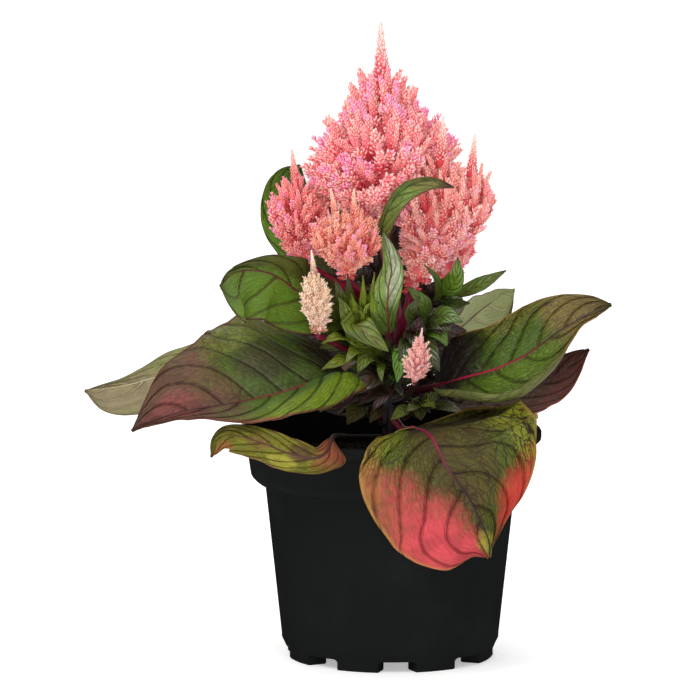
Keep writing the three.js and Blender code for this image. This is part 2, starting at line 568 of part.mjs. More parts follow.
// ---------------------------------------------------------------- leafy shoots
// Short side shoots that crowd round the stem between the large leaves. Each row of leaves is the share
// of the shoot where the leaf grows, its middle, its tip, half of its width and where its face looks.
const LEAFLET_WIDTHS = [0.45, 0.8, 1, 0.85, 0.5, 0.2];
const SHOOTS = {
  shoot_left: {
    from: 113, path: [[-8, -3, 119], [-13, -9, 124]], radius: 1.2, material: LEAF_GREEN,
    leaves: [
      [1, [-19, -20, 129.5], [-26, -26, 128.5], 4, [0, -0.8, 0.6]],
      [0.85, [-20, -12, 126], [-28, -15, 125], 3.4, [0, -0.6, 0.8]],
      [0.7, [-18, -4, 124], [-26, -4, 122.5], 3, [0, -0.4, 0.9]],
      [0.9, [-9.5, -14, 128.5], [-13, -18, 131.5], 2.4, [0.3, -0.8, 0.5]],
    ],
  },
  shoot_front_left: {
    from: 112, path: [[-2, -9, 118], [-4, -13, 121]], radius: 1.2, material: LEAF_GREEN,
    leaves: [
      [1, [-13, -25, 131], [-20.5, -30, 147], 4.8, [0.4, -0.9, 0.2]],
      [0.8, [-4, -24, 118], [-3.5, -26, 112.5], 1.9, [0, -1, 0.2]],
      [0.5, [-10, -17, 116.5], [-16, -21, 118.5], 3.4, [0, -0.7, 0.7]],
    ],
  },
  shoot_right_upper: {
    from: 129, path: [[12, -4, 137], [19, -11, 144]], radius: 1.2, material: LEAF_GREEN,
    leaves: [
      [0.95, [25, -24, 153], [26, -28, 162], 4.2, [-0.2, -1, 0.1]],
      [1, [33, -19, 149.5], [45, -22, 156.5], 3.6, [-0.3, -0.7, 0.6]],
      [0.85, [25, -13, 142], [31, -16, 143], 2.8, [0, -0.7, 0.7]],
      [0.9, [18, -25, 153], [13, -33, 160], 1.5, [0.2, -0.9, 0.3]],
    ],
  },
  shoot_right_mid: {
    from: 117, path: [[8, -9, 127], [14, -15, 134]], radius: 1.2, material: LEAF_GREEN,
    leaves: [
      [1, [20.5, -24, 139], [28, -28, 137], 4, [0, -0.9, 0.4]],
      [0.85, [18.5, -22, 132], [22, -25, 127], 3.4, [0.2, -0.9, 0.3]],
      [0.95, [13, -25, 143], [6.5, -31, 151], 3.2, [0.3, -0.9, 0.3]],
      [0.5, [13, -18, 121], [16, -23, 117], 2.6, [0, -0.9, 0.4]],
    ],
  },
  shoot_front: {
    from: 105, path: [[1, -9, 112], [2, -13, 118]], radius: 1.2, material: LEAF_GREEN,
    leaves: [
      [1, [4, -22, 124], [2.5, -27, 113], 3.6, [0, -1, 0.1]],
      [0.35, [-6, -22, 109.5], [-13, -30, 104.5], 4.4, [0.2, -0.8, 0.6]],
      [0.8, [7, -20, 117], [10, -26, 120], 2.2, [-0.2, -0.8, 0.5]],
    ],
  },
  shoot_left_low: {
    from: 92, path: [[-7, -6, 98], [-10, -9, 102]], radius: 1.1, material: LEAF_OLIVE,
    leaves: [
      [1, [-13, -19, 101], [-17, -24, 96], 4.4, [-0.2, -0.9, 0.4]],
      [0.8, [-5, -19, 101.5], [-8, -26, 97], 3, [0.2, -0.9, 0.4]],
      [0.9, [-20, -12, 104], [-28, -17, 100], 4, [0, -0.4, 0.9]],
      [0.5, [-13, 0, 99], [-21, 3, 96], 3.6, [0, 0.3, 0.9]],
    ],
  },
  shoot_front_low: {
    from: 97, path: [[8, -5, 99.5], [11.5, -9, 102]], radius: 1, material: LEAF_GREEN,
    leaves: [
      [0.75, [4.5, -19, 100.5], [0, -27, 98], 2.6, [0, -1, 0.3]],
      [0.9, [9, -20, 102.5], [6, -28, 101.5], 2.3, [0, -0.9, 0.5]],
      [0.95, [15, -18, 103.5], [17.5, -23, 102.5], 2.5, [0, -0.9, 0.5]],
      [1, [16.5, -19, 106.5], [15.5, -25, 105], 2.6, [0.2, -1, 0.1]],
      [0.6, [20, -5, 100.5], [29, -7, 98], 3.4, [0, -0.5, 0.9]],
    ],
  },
  shoot_back_low: {
    from: 92, path: [[2, 10, 98], [4, 15, 103]], radius: 1.2, material: LEAF_GREEN,
    fan: { azimuth: 85, count: 4 },
  },
  shoot_back_right: {
    from: 104, path: [[9, 4, 107], [15, 5, 109]], radius: 1.2, material: LEAF_GREEN,
    fan: { azimuth: 12, count: 3 },
  },
  shoot_back_upper: {
    from: 132, path: [[-6, 10, 135], [-8, 16, 139]], radius: 1.2, material: LEAF_GREEN,
    fan: { azimuth: 110, count: 4 },
  },
};

const FAN_SPREAD = 120; // degrees from the first leaf to the last, seen from above

// Leaves that spread round the end of a shoot, alternately rising and falling.
function fanLeaves(path, { azimuth, count }) {
  const end = vec(path[path.length - 1]);
  const leaves = [];
  for (let i = 0; i < count; i++) {
    const turn = rad(azimuth + FAN_SPREAD * (i / (count - 1) - 0.5));
    const out = new THREE.Vector3(Math.cos(turn), Math.sin(turn), i % 2 ? 0.35 : -0.15);
    const length = lerp(13, 18, draw(i + azimuth));
    const middle = end.clone().addScaledVector(out, length * 0.55).add(new THREE.Vector3(0, 0, 2));
    const tip = end.clone().addScaledVector(out, length);
    const face = [0.5 * out.x, 0.5 * out.y, 0.8];
    leaves.push([0.7 + 0.3 * draw(i), middle.toArray(), tip.toArray(), lerp(3, 4.2, draw(i + 7)), face]);
  }
  return leaves;
}

function shootGeometry(shoot) {
  const path = [stemSeat(shoot.from, shoot.path[0], shoot.radius), ...shoot.path];
  const curve = new THREE.CatmullRomCurve3(path.map(vec), false, "catmullrom", 0.5);
  const pieces = [rod(path, [[0, shoot.radius], [1, shoot.radius * 0.8]], 4, 2)];
  for (const [at, middle, tip, halfWidth, face] of shoot.leaves ?? fanLeaves(shoot.path, shoot.fan)) {
    const widths = LEAFLET_WIDTHS.map((share) => share * halfWidth);
    const half = { widths, fold: [14, 10, 4], cup: [0, 0, 0], lobe: 0 };
    const leaf = {
      spine: [middle, tip], stalk: 0.25, stalkRadius: 0.7, faces: [face, face],
      left: half, right: half, wave: 0, waves: 1, section: "small",
    };
    pieces.push(leafGeometry(leaf, curve.getPointAt(at * 0.97).toArray()));
  }
  return geometryOf(fuse(pieces));
}

for (const [name, shoot] of Object.entries(SHOOTS)) {
  add(name, shootGeometry(shoot), shoot.material);
}

// ---------------------------------------------------------------- plumes
// A plume has one or more heads. A head is a core along its axis, from which flower spikes rise all round,
// out to a reach that changes from the bottom to the top, and it ends in one tall spire. The core has a
// socket that fits over the end of its branch. Where two plumes press on each other, a wall between them
// holds the spikes of each on its own side.
const CORE_SHARE = 0.75; // the core's radius as a share of the reach
const ROOT_SHARE = 0.66; // the spikes start this far out, inside the core
const SPIKE_CLIMB = 4.5; // how far a spike climbs, in its own thicknesses
const SPIRE_START = 0.85; // above this share of the axis the core is the bare spire
const CORE_SIDES = 8;
const GOLDEN_TURN = 137.508;
const WALLS = {
  main_right: { point: [10, -4.7, 190], normal: [0.83, -0.555, -0.2] },
  main_left: { point: [-30, -1.5, 185], normal: [-0.9, -0.25, -0.35] },
  main_front: { point: [-19, -17, 178], normal: [-0.4, -0.9, -0.5] },
  main_rear: { point: [-5, 28.5, 176], normal: [0, 1, -0.29] },
  left_front: { point: [-30, -14.3, 175], normal: [0.65, -0.76, 0] },
  front_cream: { point: [-26.5, -35.5, 158], normal: [-0.47, -0.85, -0.1] },
};
const PLUMES = {
  plume_main: {
    heads: [
      {
        axis: [[-4.2, 4.9, 173.5], [-2.5, 5, 205], [-4, 5, 235], [-4, 5, 252]], spikes: 72, thick: 2.8,
        reach: [
          [0, 5], [0.05, 14], [0.13, 25], [0.24, 30], [0.38, 28.5], [0.5, 24.5], [0.58, 19],
          [0.67, 12.5], [0.76, 8], [0.84, 4], [0.92, 2.2], [1, 0.5],
        ],
      },
    ],
    walls: [["main_right", -1], ["main_left", -1], ["main_front", -1], ["main_rear", -1]],
    material: PLUME_PINK,
  },
  plume_right: {
    heads: [
      {
        axis: [[8.5, -9.6, 147.5], [16, -11, 168], [19.5, -11, 190], [20.5, -11, 216]],
        reach: [[0, 3], [0.18, 9], [0.4, 16], [0.6, 15], [0.75, 9.5], [0.87, 4], [1, 0.5]],
        spikes: 30, thick: 2.5,
      },
      {
        axis: [[15, -11, 160], [25, -11, 172], [31, -11, 190], [33, -11, 209]],
        reach: [[0, 5], [0.25, 11], [0.55, 12.5], [0.75, 8], [0.88, 3.5], [1, 0.5]],
        spikes: 18, thick: 2.5,
      },
    ],
    walls: [["main_right", 1]],
    material: PLUME_PINK,
  },
  plume_left: {
    heads: [
      {
        axis: [[-34.5, -3.7, 156], [-37, -5, 175], [-39, -5, 202.5]], spikes: 22, thick: 2.2,
        reach: [[0, 3], [0.2, 8.5], [0.38, 13], [0.55, 12.5], [0.7, 8], [0.82, 3.5], [1, 0.5]],
      },
    ],
    walls: [["main_left", 1], ["left_front", -1]],
    material: PLUME_PINK,
  },
  plume_front: {
    heads: [
      {
        axis: [[-16.6, -25.5, 150.8], [-20, -27, 166], [-24.5, -27, 189]], spikes: 14, thick: 2.2,
        reach: [[0, 3], [0.25, 9.5], [0.45, 12], [0.62, 9.5], [0.8, 4], [1, 0.5]],
      },
      {
        axis: [[-16.2, -26.4, 156], [-14.5, -28, 168], [-14.5, -27, 189]], spikes: 12, thick: 2.2,
        reach: [[0, 4], [0.2, 9], [0.42, 11.5], [0.6, 9.5], [0.8, 4], [1, 0.5]],
      },
    ],
    walls: [["main_front", 1], ["left_front", 1], ["front_cream", -1]],
    material: PLUME_PINK,
  },
  plume_cream: {
    heads: [
      {
        axis: [[-28.2, -35.6, 131.2], [-30, -40, 148], [-31, -40, 166.5]], spikes: 13, thick: 1.7,
        reach: [[0, 2.4], [0.25, 6.5], [0.48, 7.2], [0.67, 5], [0.83, 2.4], [1, 0.5]],
      },
    ],
    walls: [["front_cream", 1]],
    material: PLUME_CREAM,
  },
  plume_small: {
    heads: [
      {
        axis: [[9, -36.4, 113.6], [10, -41, 124], [12, -43, 136.5]], spikes: 9, thick: 1.6,
        reach: [[0, 2.2], [0.3, 5.6], [0.52, 5.2], [0.76, 2.6], [1, 0.4]],
      },
    ],
    walls: [],
    material: PLUME_PINK,
  },
  plume_rear: {
    heads: [
      {
        axis: [[-5.5, 34, 157.2], [-7, 40, 174], [-7, 40, 200]], spikes: 16, thick: 2.2,
        reach: [[0, 3], [0.22, 9], [0.46, 12], [0.65, 9.5], [0.82, 4], [1, 0.5]],
      },
    ],
    walls: [["main_rear", 1]],
    material: PLUME_PINK,
  },
  plume_rear_right: {
    heads: [
      {
        axis: [[20.5, 17, 146], [24, 21, 162], [25, 21, 184]], spikes: 13, thick: 2.1,
        reach: [[0, 3], [0.22, 8], [0.46, 10.5], [0.65, 8], [0.82, 3.5], [1, 0.5]],
      },
    ],
    walls: [],
    material: PLUME_PINK,
  },
};

// A four-sided spindle between two points, thickest at its middle.
function spikeGeometry(root, tip, radius, turn) {
  const along = tip.clone().sub(root);
  const side = new THREE.Vector3(-along.y, along.x, 0.01).normalize();
  const over = along.clone().normalize().cross(side);
  const points = [root.clone(), tip.clone()];
  for (let k = 0; k < 4; k++) {
    const angle = turn + (k * Math.PI) / 2;
    const point = root.clone().addScaledVector(along, 0.5);
    point.addScaledVector(side, Math.cos(angle) * radius);
    points.push(point.addScaledVector(over, Math.sin(angle) * radius));
  }
  const faces = [];
  for (let k = 0; k < 4; k++) {
    const [here, next] = [2 + k, 2 + ((k + 1) % 4)];
    faces.push([0, next, here], [here, next, 1]);
  }
  return indexedGeometry(points, faces);
}

// How far a point lies on the right side of a plume's nearest wall.
function clearance(point, walls) {
  const depths = walls.map(([name, sign]) => {
    const { point: foot, normal } = WALLS[name];
    return sign * point.clone().sub(vec(foot)).dot(vec(normal).normalize());
  });
  return Math.min(...depths);
}

function headPieces(head, walls, seed) {
  const curve = new THREE.CatmullRomCurve3(head.axis.map(vec), false, "catmullrom", 0.5);
  const coreRadii = head.reach.map(([t, r]) => [t, r * (t > SPIRE_START ? 1 : CORE_SHARE)]);
  const pieces = [rod(head.axis, coreRadii, CORE_SIDES, 11)];
  // Spikes are shared out by the reach, so that they stand equally close from the bottom to the top.
  const crowding = [];
  for (let i = 0; i <= 60; i++) crowding.push((crowding[i - 1] ?? 0) + table(head.reach, i / 60));
  for (let n = 0; n < head.spikes; n++) {
    const wanted = ((n + 0.5) / head.spikes) * crowding[60] * 0.985;
    const at = crowding.findIndex((total) => total >= wanted) / 60;
    const turn = rad(n * GOLDEN_TURN + seed * 40);
    const out = new THREE.Vector3(Math.cos(turn), Math.sin(turn), 0);
    const reach = table(head.reach, at) * lerp(0.95, 1.15, draw(n * 3 + seed)) + head.thick * 0.4 * at;
    const tip = curve.getPointAt(at).addScaledVector(out, reach);
    const climb = (head.thick * SPIKE_CLIMB * lerp(0.5, 1, at)) / curve.getLength();
    const foot = clamp(at - climb, 0.03, 1);
    const root = curve.getPointAt(foot).addScaledVector(out, ROOT_SHARE * table(head.reach, foot));
    let share = 1;
    while (share > 0.4 && clearance(root.clone().lerp(tip, share), walls) < head.thick * 0.6) share -= 0.08;
    if (share <= 0.4) continue;
    const radius = head.thick * lerp(0.85, 1.1, draw(n * 7 + seed)) * lerp(1, 0.75, at);
    pieces.push(spikeGeometry(root, root.clone().lerp(tip, share), radius, turn));
  }
  return pieces;
}

// A block that fills everything past a wall, less half of the gap.
function beyond([name, sign]) {
  const { point, normal } = WALLS[name];
  const away = vec(normal).normalize().multiplyScalar(-sign);
  const block = new THREE.BoxGeometry(200, 200, 200);
  block.translate(0, 0, 100 - SEAT_GAP / 2);
  block.applyQuaternion(new THREE.Quaternion().setFromUnitVectors(new THREE.Vector3(0, 0, 1), away));
  return solidOf(block.translate(...point));
}

const stemRoom = stemSolid(SEAT_GAP);
Object.entries(PLUMES).forEach(([name, plume], seed) => {
  const pieces = plume.heads.flatMap((head, i) => headPieces(head, plume.walls, seed + i * 0.37));
  let solid = wasm.Manifold.union(pieces.map(solidOf)).subtract(stemRoom);
  for (const wall of plume.walls) solid = solid.subtract(beyond(wall));
  add(name, geometryOf(largestBody(solid)), plume.material);
});

export default plant;
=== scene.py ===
"""A plume celosia in its nursery pot: the pot, the peat, the stem, the leaves, the leafy shoots and the
plumes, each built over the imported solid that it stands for. Lengths in the tables are millimetres."""

import math
import random

import bpy
import numpy as np
from mathutils import Matrix, Vector


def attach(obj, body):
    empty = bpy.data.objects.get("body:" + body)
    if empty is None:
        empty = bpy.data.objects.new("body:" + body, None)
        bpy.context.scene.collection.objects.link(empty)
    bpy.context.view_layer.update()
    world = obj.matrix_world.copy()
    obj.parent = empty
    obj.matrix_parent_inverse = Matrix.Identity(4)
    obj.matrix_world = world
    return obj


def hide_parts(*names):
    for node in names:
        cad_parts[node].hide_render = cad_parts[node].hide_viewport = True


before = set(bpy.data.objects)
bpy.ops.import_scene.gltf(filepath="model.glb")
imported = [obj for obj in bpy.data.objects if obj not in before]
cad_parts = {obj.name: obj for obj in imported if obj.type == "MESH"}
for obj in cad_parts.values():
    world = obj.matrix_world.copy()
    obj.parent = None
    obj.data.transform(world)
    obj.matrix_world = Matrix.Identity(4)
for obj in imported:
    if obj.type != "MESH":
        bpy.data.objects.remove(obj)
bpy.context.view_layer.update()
MM = 0.001

# ---------------------------------------------------------------- studio
# A white table under soft lights from the upper left front, from low in front and from above. The air
# round it is white and darkens to grey at both sides. The camera looks slightly down from two metres.
CAMERA_PLACE = Vector((-16.8, -2000, 387)) * MM
CAMERA_AIM = Vector((-16.8, 0, 123)) * MM
LENS, SENSOR_WIDTH, VIEW_END = 263.4, 36, 20
LIGHT_AIM = Vector((0, 0, 0.12))
SOFTBOXES = {  # place, size and watts
    "key_light": ((-0.6, -1.05, 1.15), 0.5, 9),
    "front_light": ((0.12, -1.75, 0.1), 0.55, 4),
    "top_light": ((0.3, 0.45, 1.7), 0.8, 4),
}
AIR_GREYS = ((0.3, 1.0), (0.8, 0.4))  # how far to the side, and how white it is there
TABLE_SIZE = 12
TABLE_FINISH = {
    "Base Color": (0.98, 0.98, 0.98, 1), "Roughness": 0.9,
    "Emission Color": (1, 1, 1, 1), "Emission Strength": 0.4,
}


def select_only(*pieces):
    """Selects these pieces and nothing else. The first becomes the active one."""
    bpy.ops.object.select_all(action="DESELECT")
    for piece in pieces:
        piece.select_set(True)
    if pieces:
        bpy.context.view_layer.objects.active = pieces[0]


def facing(place, aim):
    """The turn that points a camera or a lamp at its aim."""
    return (aim - Vector(place)).to_track_quat("-Z", "Y").to_euler()


scene = bpy.context.scene
scene.view_settings.view_transform = "Standard"
select_only()
bpy.ops.object.camera_add(location=CAMERA_PLACE, rotation=facing(CAMERA_PLACE, CAMERA_AIM))
scene.camera = bpy.context.object
scene.camera.data.lens = LENS
scene.camera.data.sensor_width = SENSOR_WIDTH
scene.camera.data.clip_end = VIEW_END

for name, (place, size, watts) in SOFTBOXES.items():
    bpy.ops.object.light_add(type="AREA", location=place, rotation=facing(place, LIGHT_AIM))
    lamp = bpy.context.object
    lamp.name = name
    lamp.data.shape = "SQUARE"
    lamp.data.size = size
    lamp.data.energy = watts

world = bpy.data.worlds.new("studio_air")
scene.world = world
world.use_nodes = True
air = world.node_tree.nodes
air["Background"].inputs["Strength"].default_value = 1.0
direction = air.new("ShaderNodeTexCoord")
sideways = air.new("ShaderNodeSeparateXYZ")
distance = air.new("ShaderNodeMath")
distance.operation = "ABSOLUTE"
shading = air.new("ShaderNodeValToRGB")
for stop, (place, grey) in zip(shading.color_ramp.elements, AIR_GREYS):
    stop.position, stop.color = place, (grey, grey, grey, 1)
for start, end in (
    (direction.outputs["Generated"], sideways.inputs[0]), (sideways.outputs["X"], distance.inputs[0]),
    (distance.outputs[0], shading.inputs[0]), (shading.outputs["Color"], air["Background"].inputs["Color"]),
):
    world.node_tree.links.new(start, end)

bpy.ops.mesh.primitive_plane_add(size=TABLE_SIZE, location=(0, 0, 0))
table = bpy.context.object
table.name = "white_table"
laminate = bpy.data.materials.new("white_table")
laminate.use_nodes = True
for name, value in TABLE_FINISH.items():
    laminate.node_tree.nodes["Principled BSDF"].inputs[name].default_value = value
table.data.materials.append(laminate)

# ---------------------------------------------------------------- pot
# An injection-moulded nursery pot in black polypropylene: thin tapered wall, deep stacking rim with a
# bead, and a foot ring cut by eight drainage arches. The plastic is satin, with a faint moulding grain.
MERGE_WITHIN = 0.002


class Signal:
    """One output in a material's nodes. Python's arithmetic on it adds the Math nodes."""

    def __init__(self, finish, socket):
        self.finish = finish
        self.socket = socket

    def maths(self, operation, *others):
        inputs = dict(enumerate([self, *others]))
        return self.finish.node("ShaderNodeMath", inputs, operation=operation)

    def __add__(self, other):
        return self.maths("ADD", other)

    def __sub__(self, other):
        return self.maths("SUBTRACT", other)

    def __mul__(self, other):
        return self.maths("MULTIPLY", other)

    def __rsub__(self, other):
        return self * -1 + other

    __radd__ = __add__
    __rmul__ = __mul__

    def __abs__(self):
        return self.maths("ABSOLUTE")

    def repeat(self):
        """The part after the decimal point, for a pattern that starts again at each whole number."""
        return self.maths("FRACT")

    def least(self, other):
        return self.maths("MINIMUM", other)

    def most(self, other):
        return self.maths("MAXIMUM", other)

    def rises(self, low, high):
        """0 up to low and 1 from high on, with a smooth step between them. Falls where low is higher."""
        inputs = {0: self, 1: low, 2: high}
        return self.finish.node("ShaderNodeMapRange", inputs, interpolation_type="SMOOTHSTEP")


class Finish:
    """A material while it is put together. Its nodes' outputs come back as Signals."""

    def __init__(self, name, roughness=0.5, shine=0.5):
        self.material = bpy.data.materials.new(name)
        self.material.use_nodes = True
        self.tree = self.material.node_tree
        self.shader = self.tree.nodes["Principled BSDF"]
        self.shader.inputs["Roughness"].default_value = roughness
        self.shader.inputs["Specular IOR Level"].default_value = shine

    def node(self, kind, inputs, output=0, **settings):
        """Any node: its settings are set first, then its inputs are given values or linked."""
        made = self.tree.nodes.new(kind)
        for name, value in settings.items():
            setattr(made, name, value)
        for name, value in inputs.items():
            self.feed(made.inputs[name], value)
        return Signal(self, made.outputs[output])

    def feed(self, socket, value):
        if isinstance(value, Signal):
            self.tree.links.new(value.socket, socket)
        elif isinstance(value, tuple) and socket.type == "RGBA":
            socket.default_value = (*value, 1)
        else:
            socket.default_value = value

    def blend(self, low, high, share):
        """Between two colours."""
        return self.node("ShaderNodeMix", {0: share, 6: low, 7: high}, output=2, data_type="RGBA")

    def place(self):
        """Places in the piece's own space, so that a pattern moves with the piece."""
        return self.node("ShaderNodeTexCoord", {}, output=3)

    def split(self, vector):
        """The three parts of a vector."""
        parts = self.node("ShaderNodeSeparateXYZ", {0: vector}).socket.node.outputs
        return [Signal(self, part) for part in parts]

    def noise(self, scale, detail, squash=None):
        """Clouds that are fixed to the piece. squash draws them out along an axis where it is below 1."""
        vector = self.place()
        if squash:
            vector = self.node("ShaderNodeVectorMath", {0: vector, 1: squash}, operation="MULTIPLY")
        return self.node("ShaderNodeTexNoise", {"Vector": vector, "Scale": scale, "Detail": detail})

    def cells(self, vector, scale, feature="DISTANCE_TO_EDGE"):
        return self.node("ShaderNodeTexVoronoi", {"Vector": vector, "Scale": scale}, feature=feature)

    def set(self, name, value):
        self.feed(self.shader.inputs[name], value)

    def relief(self, height, depth):
        """Raises the surface by the height signal, depth metres at most."""
        bump = self.node("ShaderNodeBump", {"Height": height, "Distance": depth, "Strength": 1.0})
        self.set("Normal", bump)


def paint(code, share=1.0):
    """A colour given as a web code, as the renderer's linear red, green and blue. share darkens it."""
    parts = [int(code[i : i + 2], 16) / 255 for i in (0, 2, 4)]
    return tuple(share * (c / 12.92 if c <= 0.04045 else ((c + 0.055) / 1.055) ** 2.4) for c in parts)


def sheet(name, across, along, place):
    """A sheet of quads. place(u, v) gives the points in millimetres: u runs along it, v across it."""
    select_only()
    bpy.ops.mesh.primitive_grid_add(x_subdivisions=across, y_subdivisions=along, size=1)
    made = bpy.context.object
    made.name = made.data.name = name
    flat = np.array([point.co for point in made.data.vertices]) + 0.5
    made.data.vertices.foreach_set("co", (place(flat[:, 1], flat[:, 0]) * MM).ravel())
    made.data.update()
    return made


def sew(made):
    """Merges the points that lie on each other, and turns the faces of the closed form outwards."""
    select_only(made)
    bpy.ops.object.mode_set(mode="EDIT")
    bpy.ops.mesh.select_all(action="SELECT")
    bpy.ops.mesh.remove_doubles(threshold=MERGE_WITHIN * MM)
    bpy.ops.mesh.normals_make_consistent(inside=False)
    bpy.ops.object.mode_set(mode="OBJECT")
    bpy.ops.object.shade_smooth()
    return made


def lathe(name, profile, sides):
    """A closed form turned about the Z axis from rows of radius and height that start and end on it."""
    rows = np.array(profile, float)

    def place(u, v):
        row = np.rint(u * (len(rows) - 1)).astype(int)
        turn = v * 2 * np.pi
        radius = rows[row, 0]
        return np.stack([radius * np.cos(turn), radius * np.sin(turn), rows[row, 1]], 1)

    return sew(sheet(name, sides, len(rows) - 1, place))


def apply_modifier(piece, kind, **settings):
    select_only(piece)
    modifier = piece.modifiers.new(kind.lower(), kind)
    for name, value in settings.items():
        setattr(modifier, name, value)
    bpy.ops.object.modifier_apply(modifier=modifier.name)


def join(name, parts):
    """Several objects made one."""
    select_only(*parts)
    bpy.ops.object.join()
    parts[0].name = parts[0].data.name = name
    return parts[0]


def hand_over(piece, node, slot):
    """The piece takes its CAD node's place in the model."""
    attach(piece, "root")
    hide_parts(node)


POT_HEIGHT = 91
POT_RIM_RADIUS = 60
POT_BASE_RADIUS = 41.2
POT_FLOOR = 4.6
POT_FOOT_INNER = POT_BASE_RADIUS - 8
POT_SIDES = 160
POT_PROFILE = [
    [0, 0], [9.4, 0], [10, 0.6], [10, POT_FLOOR], [POT_FOOT_INNER, POT_FLOOR],
    [POT_FOOT_INNER, 0.5], [POT_FOOT_INNER + 0.5, 0], [POT_BASE_RADIUS - 0.6, 0],
    [POT_BASE_RADIUS, 0.6], [POT_BASE_RADIUS, 3.2], [42.5, 6.2], [43, 7.1], [43.2, 7.6],
    [43.25, 9], [49.6, 68], [50, 68.9], [51, 69.4], [52, 69.7], [53.4, 70.7], [54.9, 72.2],
    [55.4, 73.2], [55.6, 74.5], [57.2, 85.4], [57.5, 86.1], [58.3, 86.4], [59.3, 86.6],
    [59.9, 87.2], [POT_RIM_RADIUS, 88], [POT_RIM_RADIUS, 90], [59.6, 90.7],
    [58.9, POT_HEIGHT], [57, POT_HEIGHT], [56.4, 90.6], [56.2, 89.8], [54.2, 73.8],
    [53.6, 72.2], [52, 70.6], [48.9, 69.6], [48.5, 68.8], [41.6, 8.4], [41, 6.8],
    [39.8, 6.2], [0, 6.2],
]
ARCHES = 8
ARCH_TURN = math.radians(3.5)
ARCH_MOUTH = (POT_BASE_RADIUS + 4, 9.5)  # distance from the axis, and half width there
ARCH_BACK = (POT_FOOT_INNER - 2, 4.2)
ARCH_TOP, ARCH_BOTTOM, ARCH_ROUNDING = POT_FLOOR - 0.2, -2, 1.4
DRAIN_CIRCLE, DRAIN_MIDDLE, DRAIN_RADIUS, DRAIN_DEPTH = 28, 5, 3, 16
EDGE_ROUNDING = 0.25
SHARP_FROM, SMOOTH_UP_TO = math.radians(50), math.radians(35)

pot = lathe("nursery_pot", POT_PROFILE, POT_SIDES)
cutters = []
for index in range(ARCHES):
    turn = Matrix.Rotation(-math.pi / 2 + ARCH_TURN + 2 * math.pi * index / ARCHES, 4, "Z")
    select_only()
    bpy.ops.mesh.primitive_cube_add(size=1)
    arch = bpy.context.object
    for corner in arch.data.vertices:
        out, half_width = ARCH_MOUTH if corner.co.x > 0 else ARCH_BACK
        height = ARCH_TOP if corner.co.z > 0 else ARCH_BOTTOM
        corner.co = Vector((out, math.copysign(half_width, corner.co.y), height)) * MM
    apply_modifier(arch, "BEVEL", width=ARCH_ROUNDING * MM, segments=3, limit_method="ANGLE")
    arch.data.transform(turn)
    select_only()
    bpy.ops.mesh.primitive_cylinder_add(
        vertices=24, radius=DRAIN_RADIUS * MM, depth=DRAIN_DEPTH * MM,
        location=(DRAIN_CIRCLE * MM, 0, DRAIN_MIDDLE * MM),
    )
    drain = bpy.context.object
    bpy.ops.object.transform_apply(location=True, rotation=True, scale=True)
    drain.data.transform(turn)
    cutters += [arch, drain]
cutter = join("arch_cutters", cutters)
apply_modifier(pot, "BOOLEAN", object=cutter, operation="DIFFERENCE", solver="EXACT")
bpy.data.objects.remove(cutter)
sharp = dict(limit_method="ANGLE", angle_limit=SHARP_FROM)
apply_modifier(pot, "BEVEL", width=EDGE_ROUNDING * MM, segments=2, **sharp)
bpy.ops.object.shade_smooth_by_angle(angle=SMOOTH_UP_TO)

plastic = Finish("black_polypropylene", shine=0.0)
grain = plastic.noise(900.0, 2.0)
flow = plastic.noise(60.0, 4.0, (1, 1, 0.12))
dust = plastic.noise(35.0, 5.0).rises(0.5, 0.85)
plastic.set("Base Color", plastic.blend(paint("161717"), paint("252626"), dust * 0.5 + flow * 0.25))
plastic.set("Roughness", 0.42 + grain * 0.08 + dust * 0.2)
plastic.relief(grain + flow * 0.5, 0.00006)
pot.data.materials.append(plastic.material)
hand_over(pot, "pot", "pot_plastic")

# ---------------------------------------------------------------- peat
# Moist peat mix, pressed into the pot a little below the rim: a dark, lumpy bed with loose crumbs and
# bits of fibre on it, and a hole that the foot of the stem stands in.
SOIL_TOP = 78
SOIL_RADIUS = 53.6
STEM_HOLE_RADIUS = 4.2
SOIL_PROFILE = [[0, 60], [SOIL_RADIUS - 0.4, 73.8], [SOIL_RADIUS, 74.5], [SOIL_RADIUS, 76.4]]
SOIL_PROFILE += [[radius, SOIL_TOP] for radius in np.linspace(SOIL_RADIUS - 0.6, STEM_HOLE_RADIUS, 62)]
SOIL_PROFILE += [[STEM_HOLE_RADIUS, 72], [0, 72]]
SOIL_SIDES = 128
CRUMBS, CRUMB_SHAPES, CRUMB_SPREAD = 420, 5, 51
CRUMB_LEAST, CRUMB_RANGE = 0.5, 1.5


def lumps(x, y):
    """The height of the peat's surface above its level, in millimetres."""
    broad = np.sin(x * 0.41 + 1.3) * np.cos(y * 0.37 - 0.6) + np.sin(x * 0.93 - y * 0.71)
    fine = np.sin(x * 1.9 + 2 * np.sin(y * 1.3)) * np.sin(y * 2.3 + 1.7 * np.sin(x * 1.1))
    grit = np.sin(x * 4.7 + y * 1.9) * np.sin(y * 5.3 - x * 2.2)
    return 0.9 * broad + 1.2 * (1 - np.hypot(x, y) / SOIL_RADIUS) + 0.5 * fine + 0.22 * grit


def copy_of(model):
    """A copy with its own mesh."""
    copy = model.copy()
    copy.data = copy.data.copy()
    bpy.context.collection.objects.link(copy)
    return copy


bed = lathe("peat_bed", SOIL_PROFILE, SOIL_SIDES)
for point in bed.data.vertices:
    x, y, z = point.co / MM
    if z > SOIL_TOP - 0.1 and STEM_HOLE_RADIUS + 0.5 < math.hypot(x, y) < SOIL_RADIUS - 0.8:
        point.co.z += (lumps(x, y) - 0.4) * MM

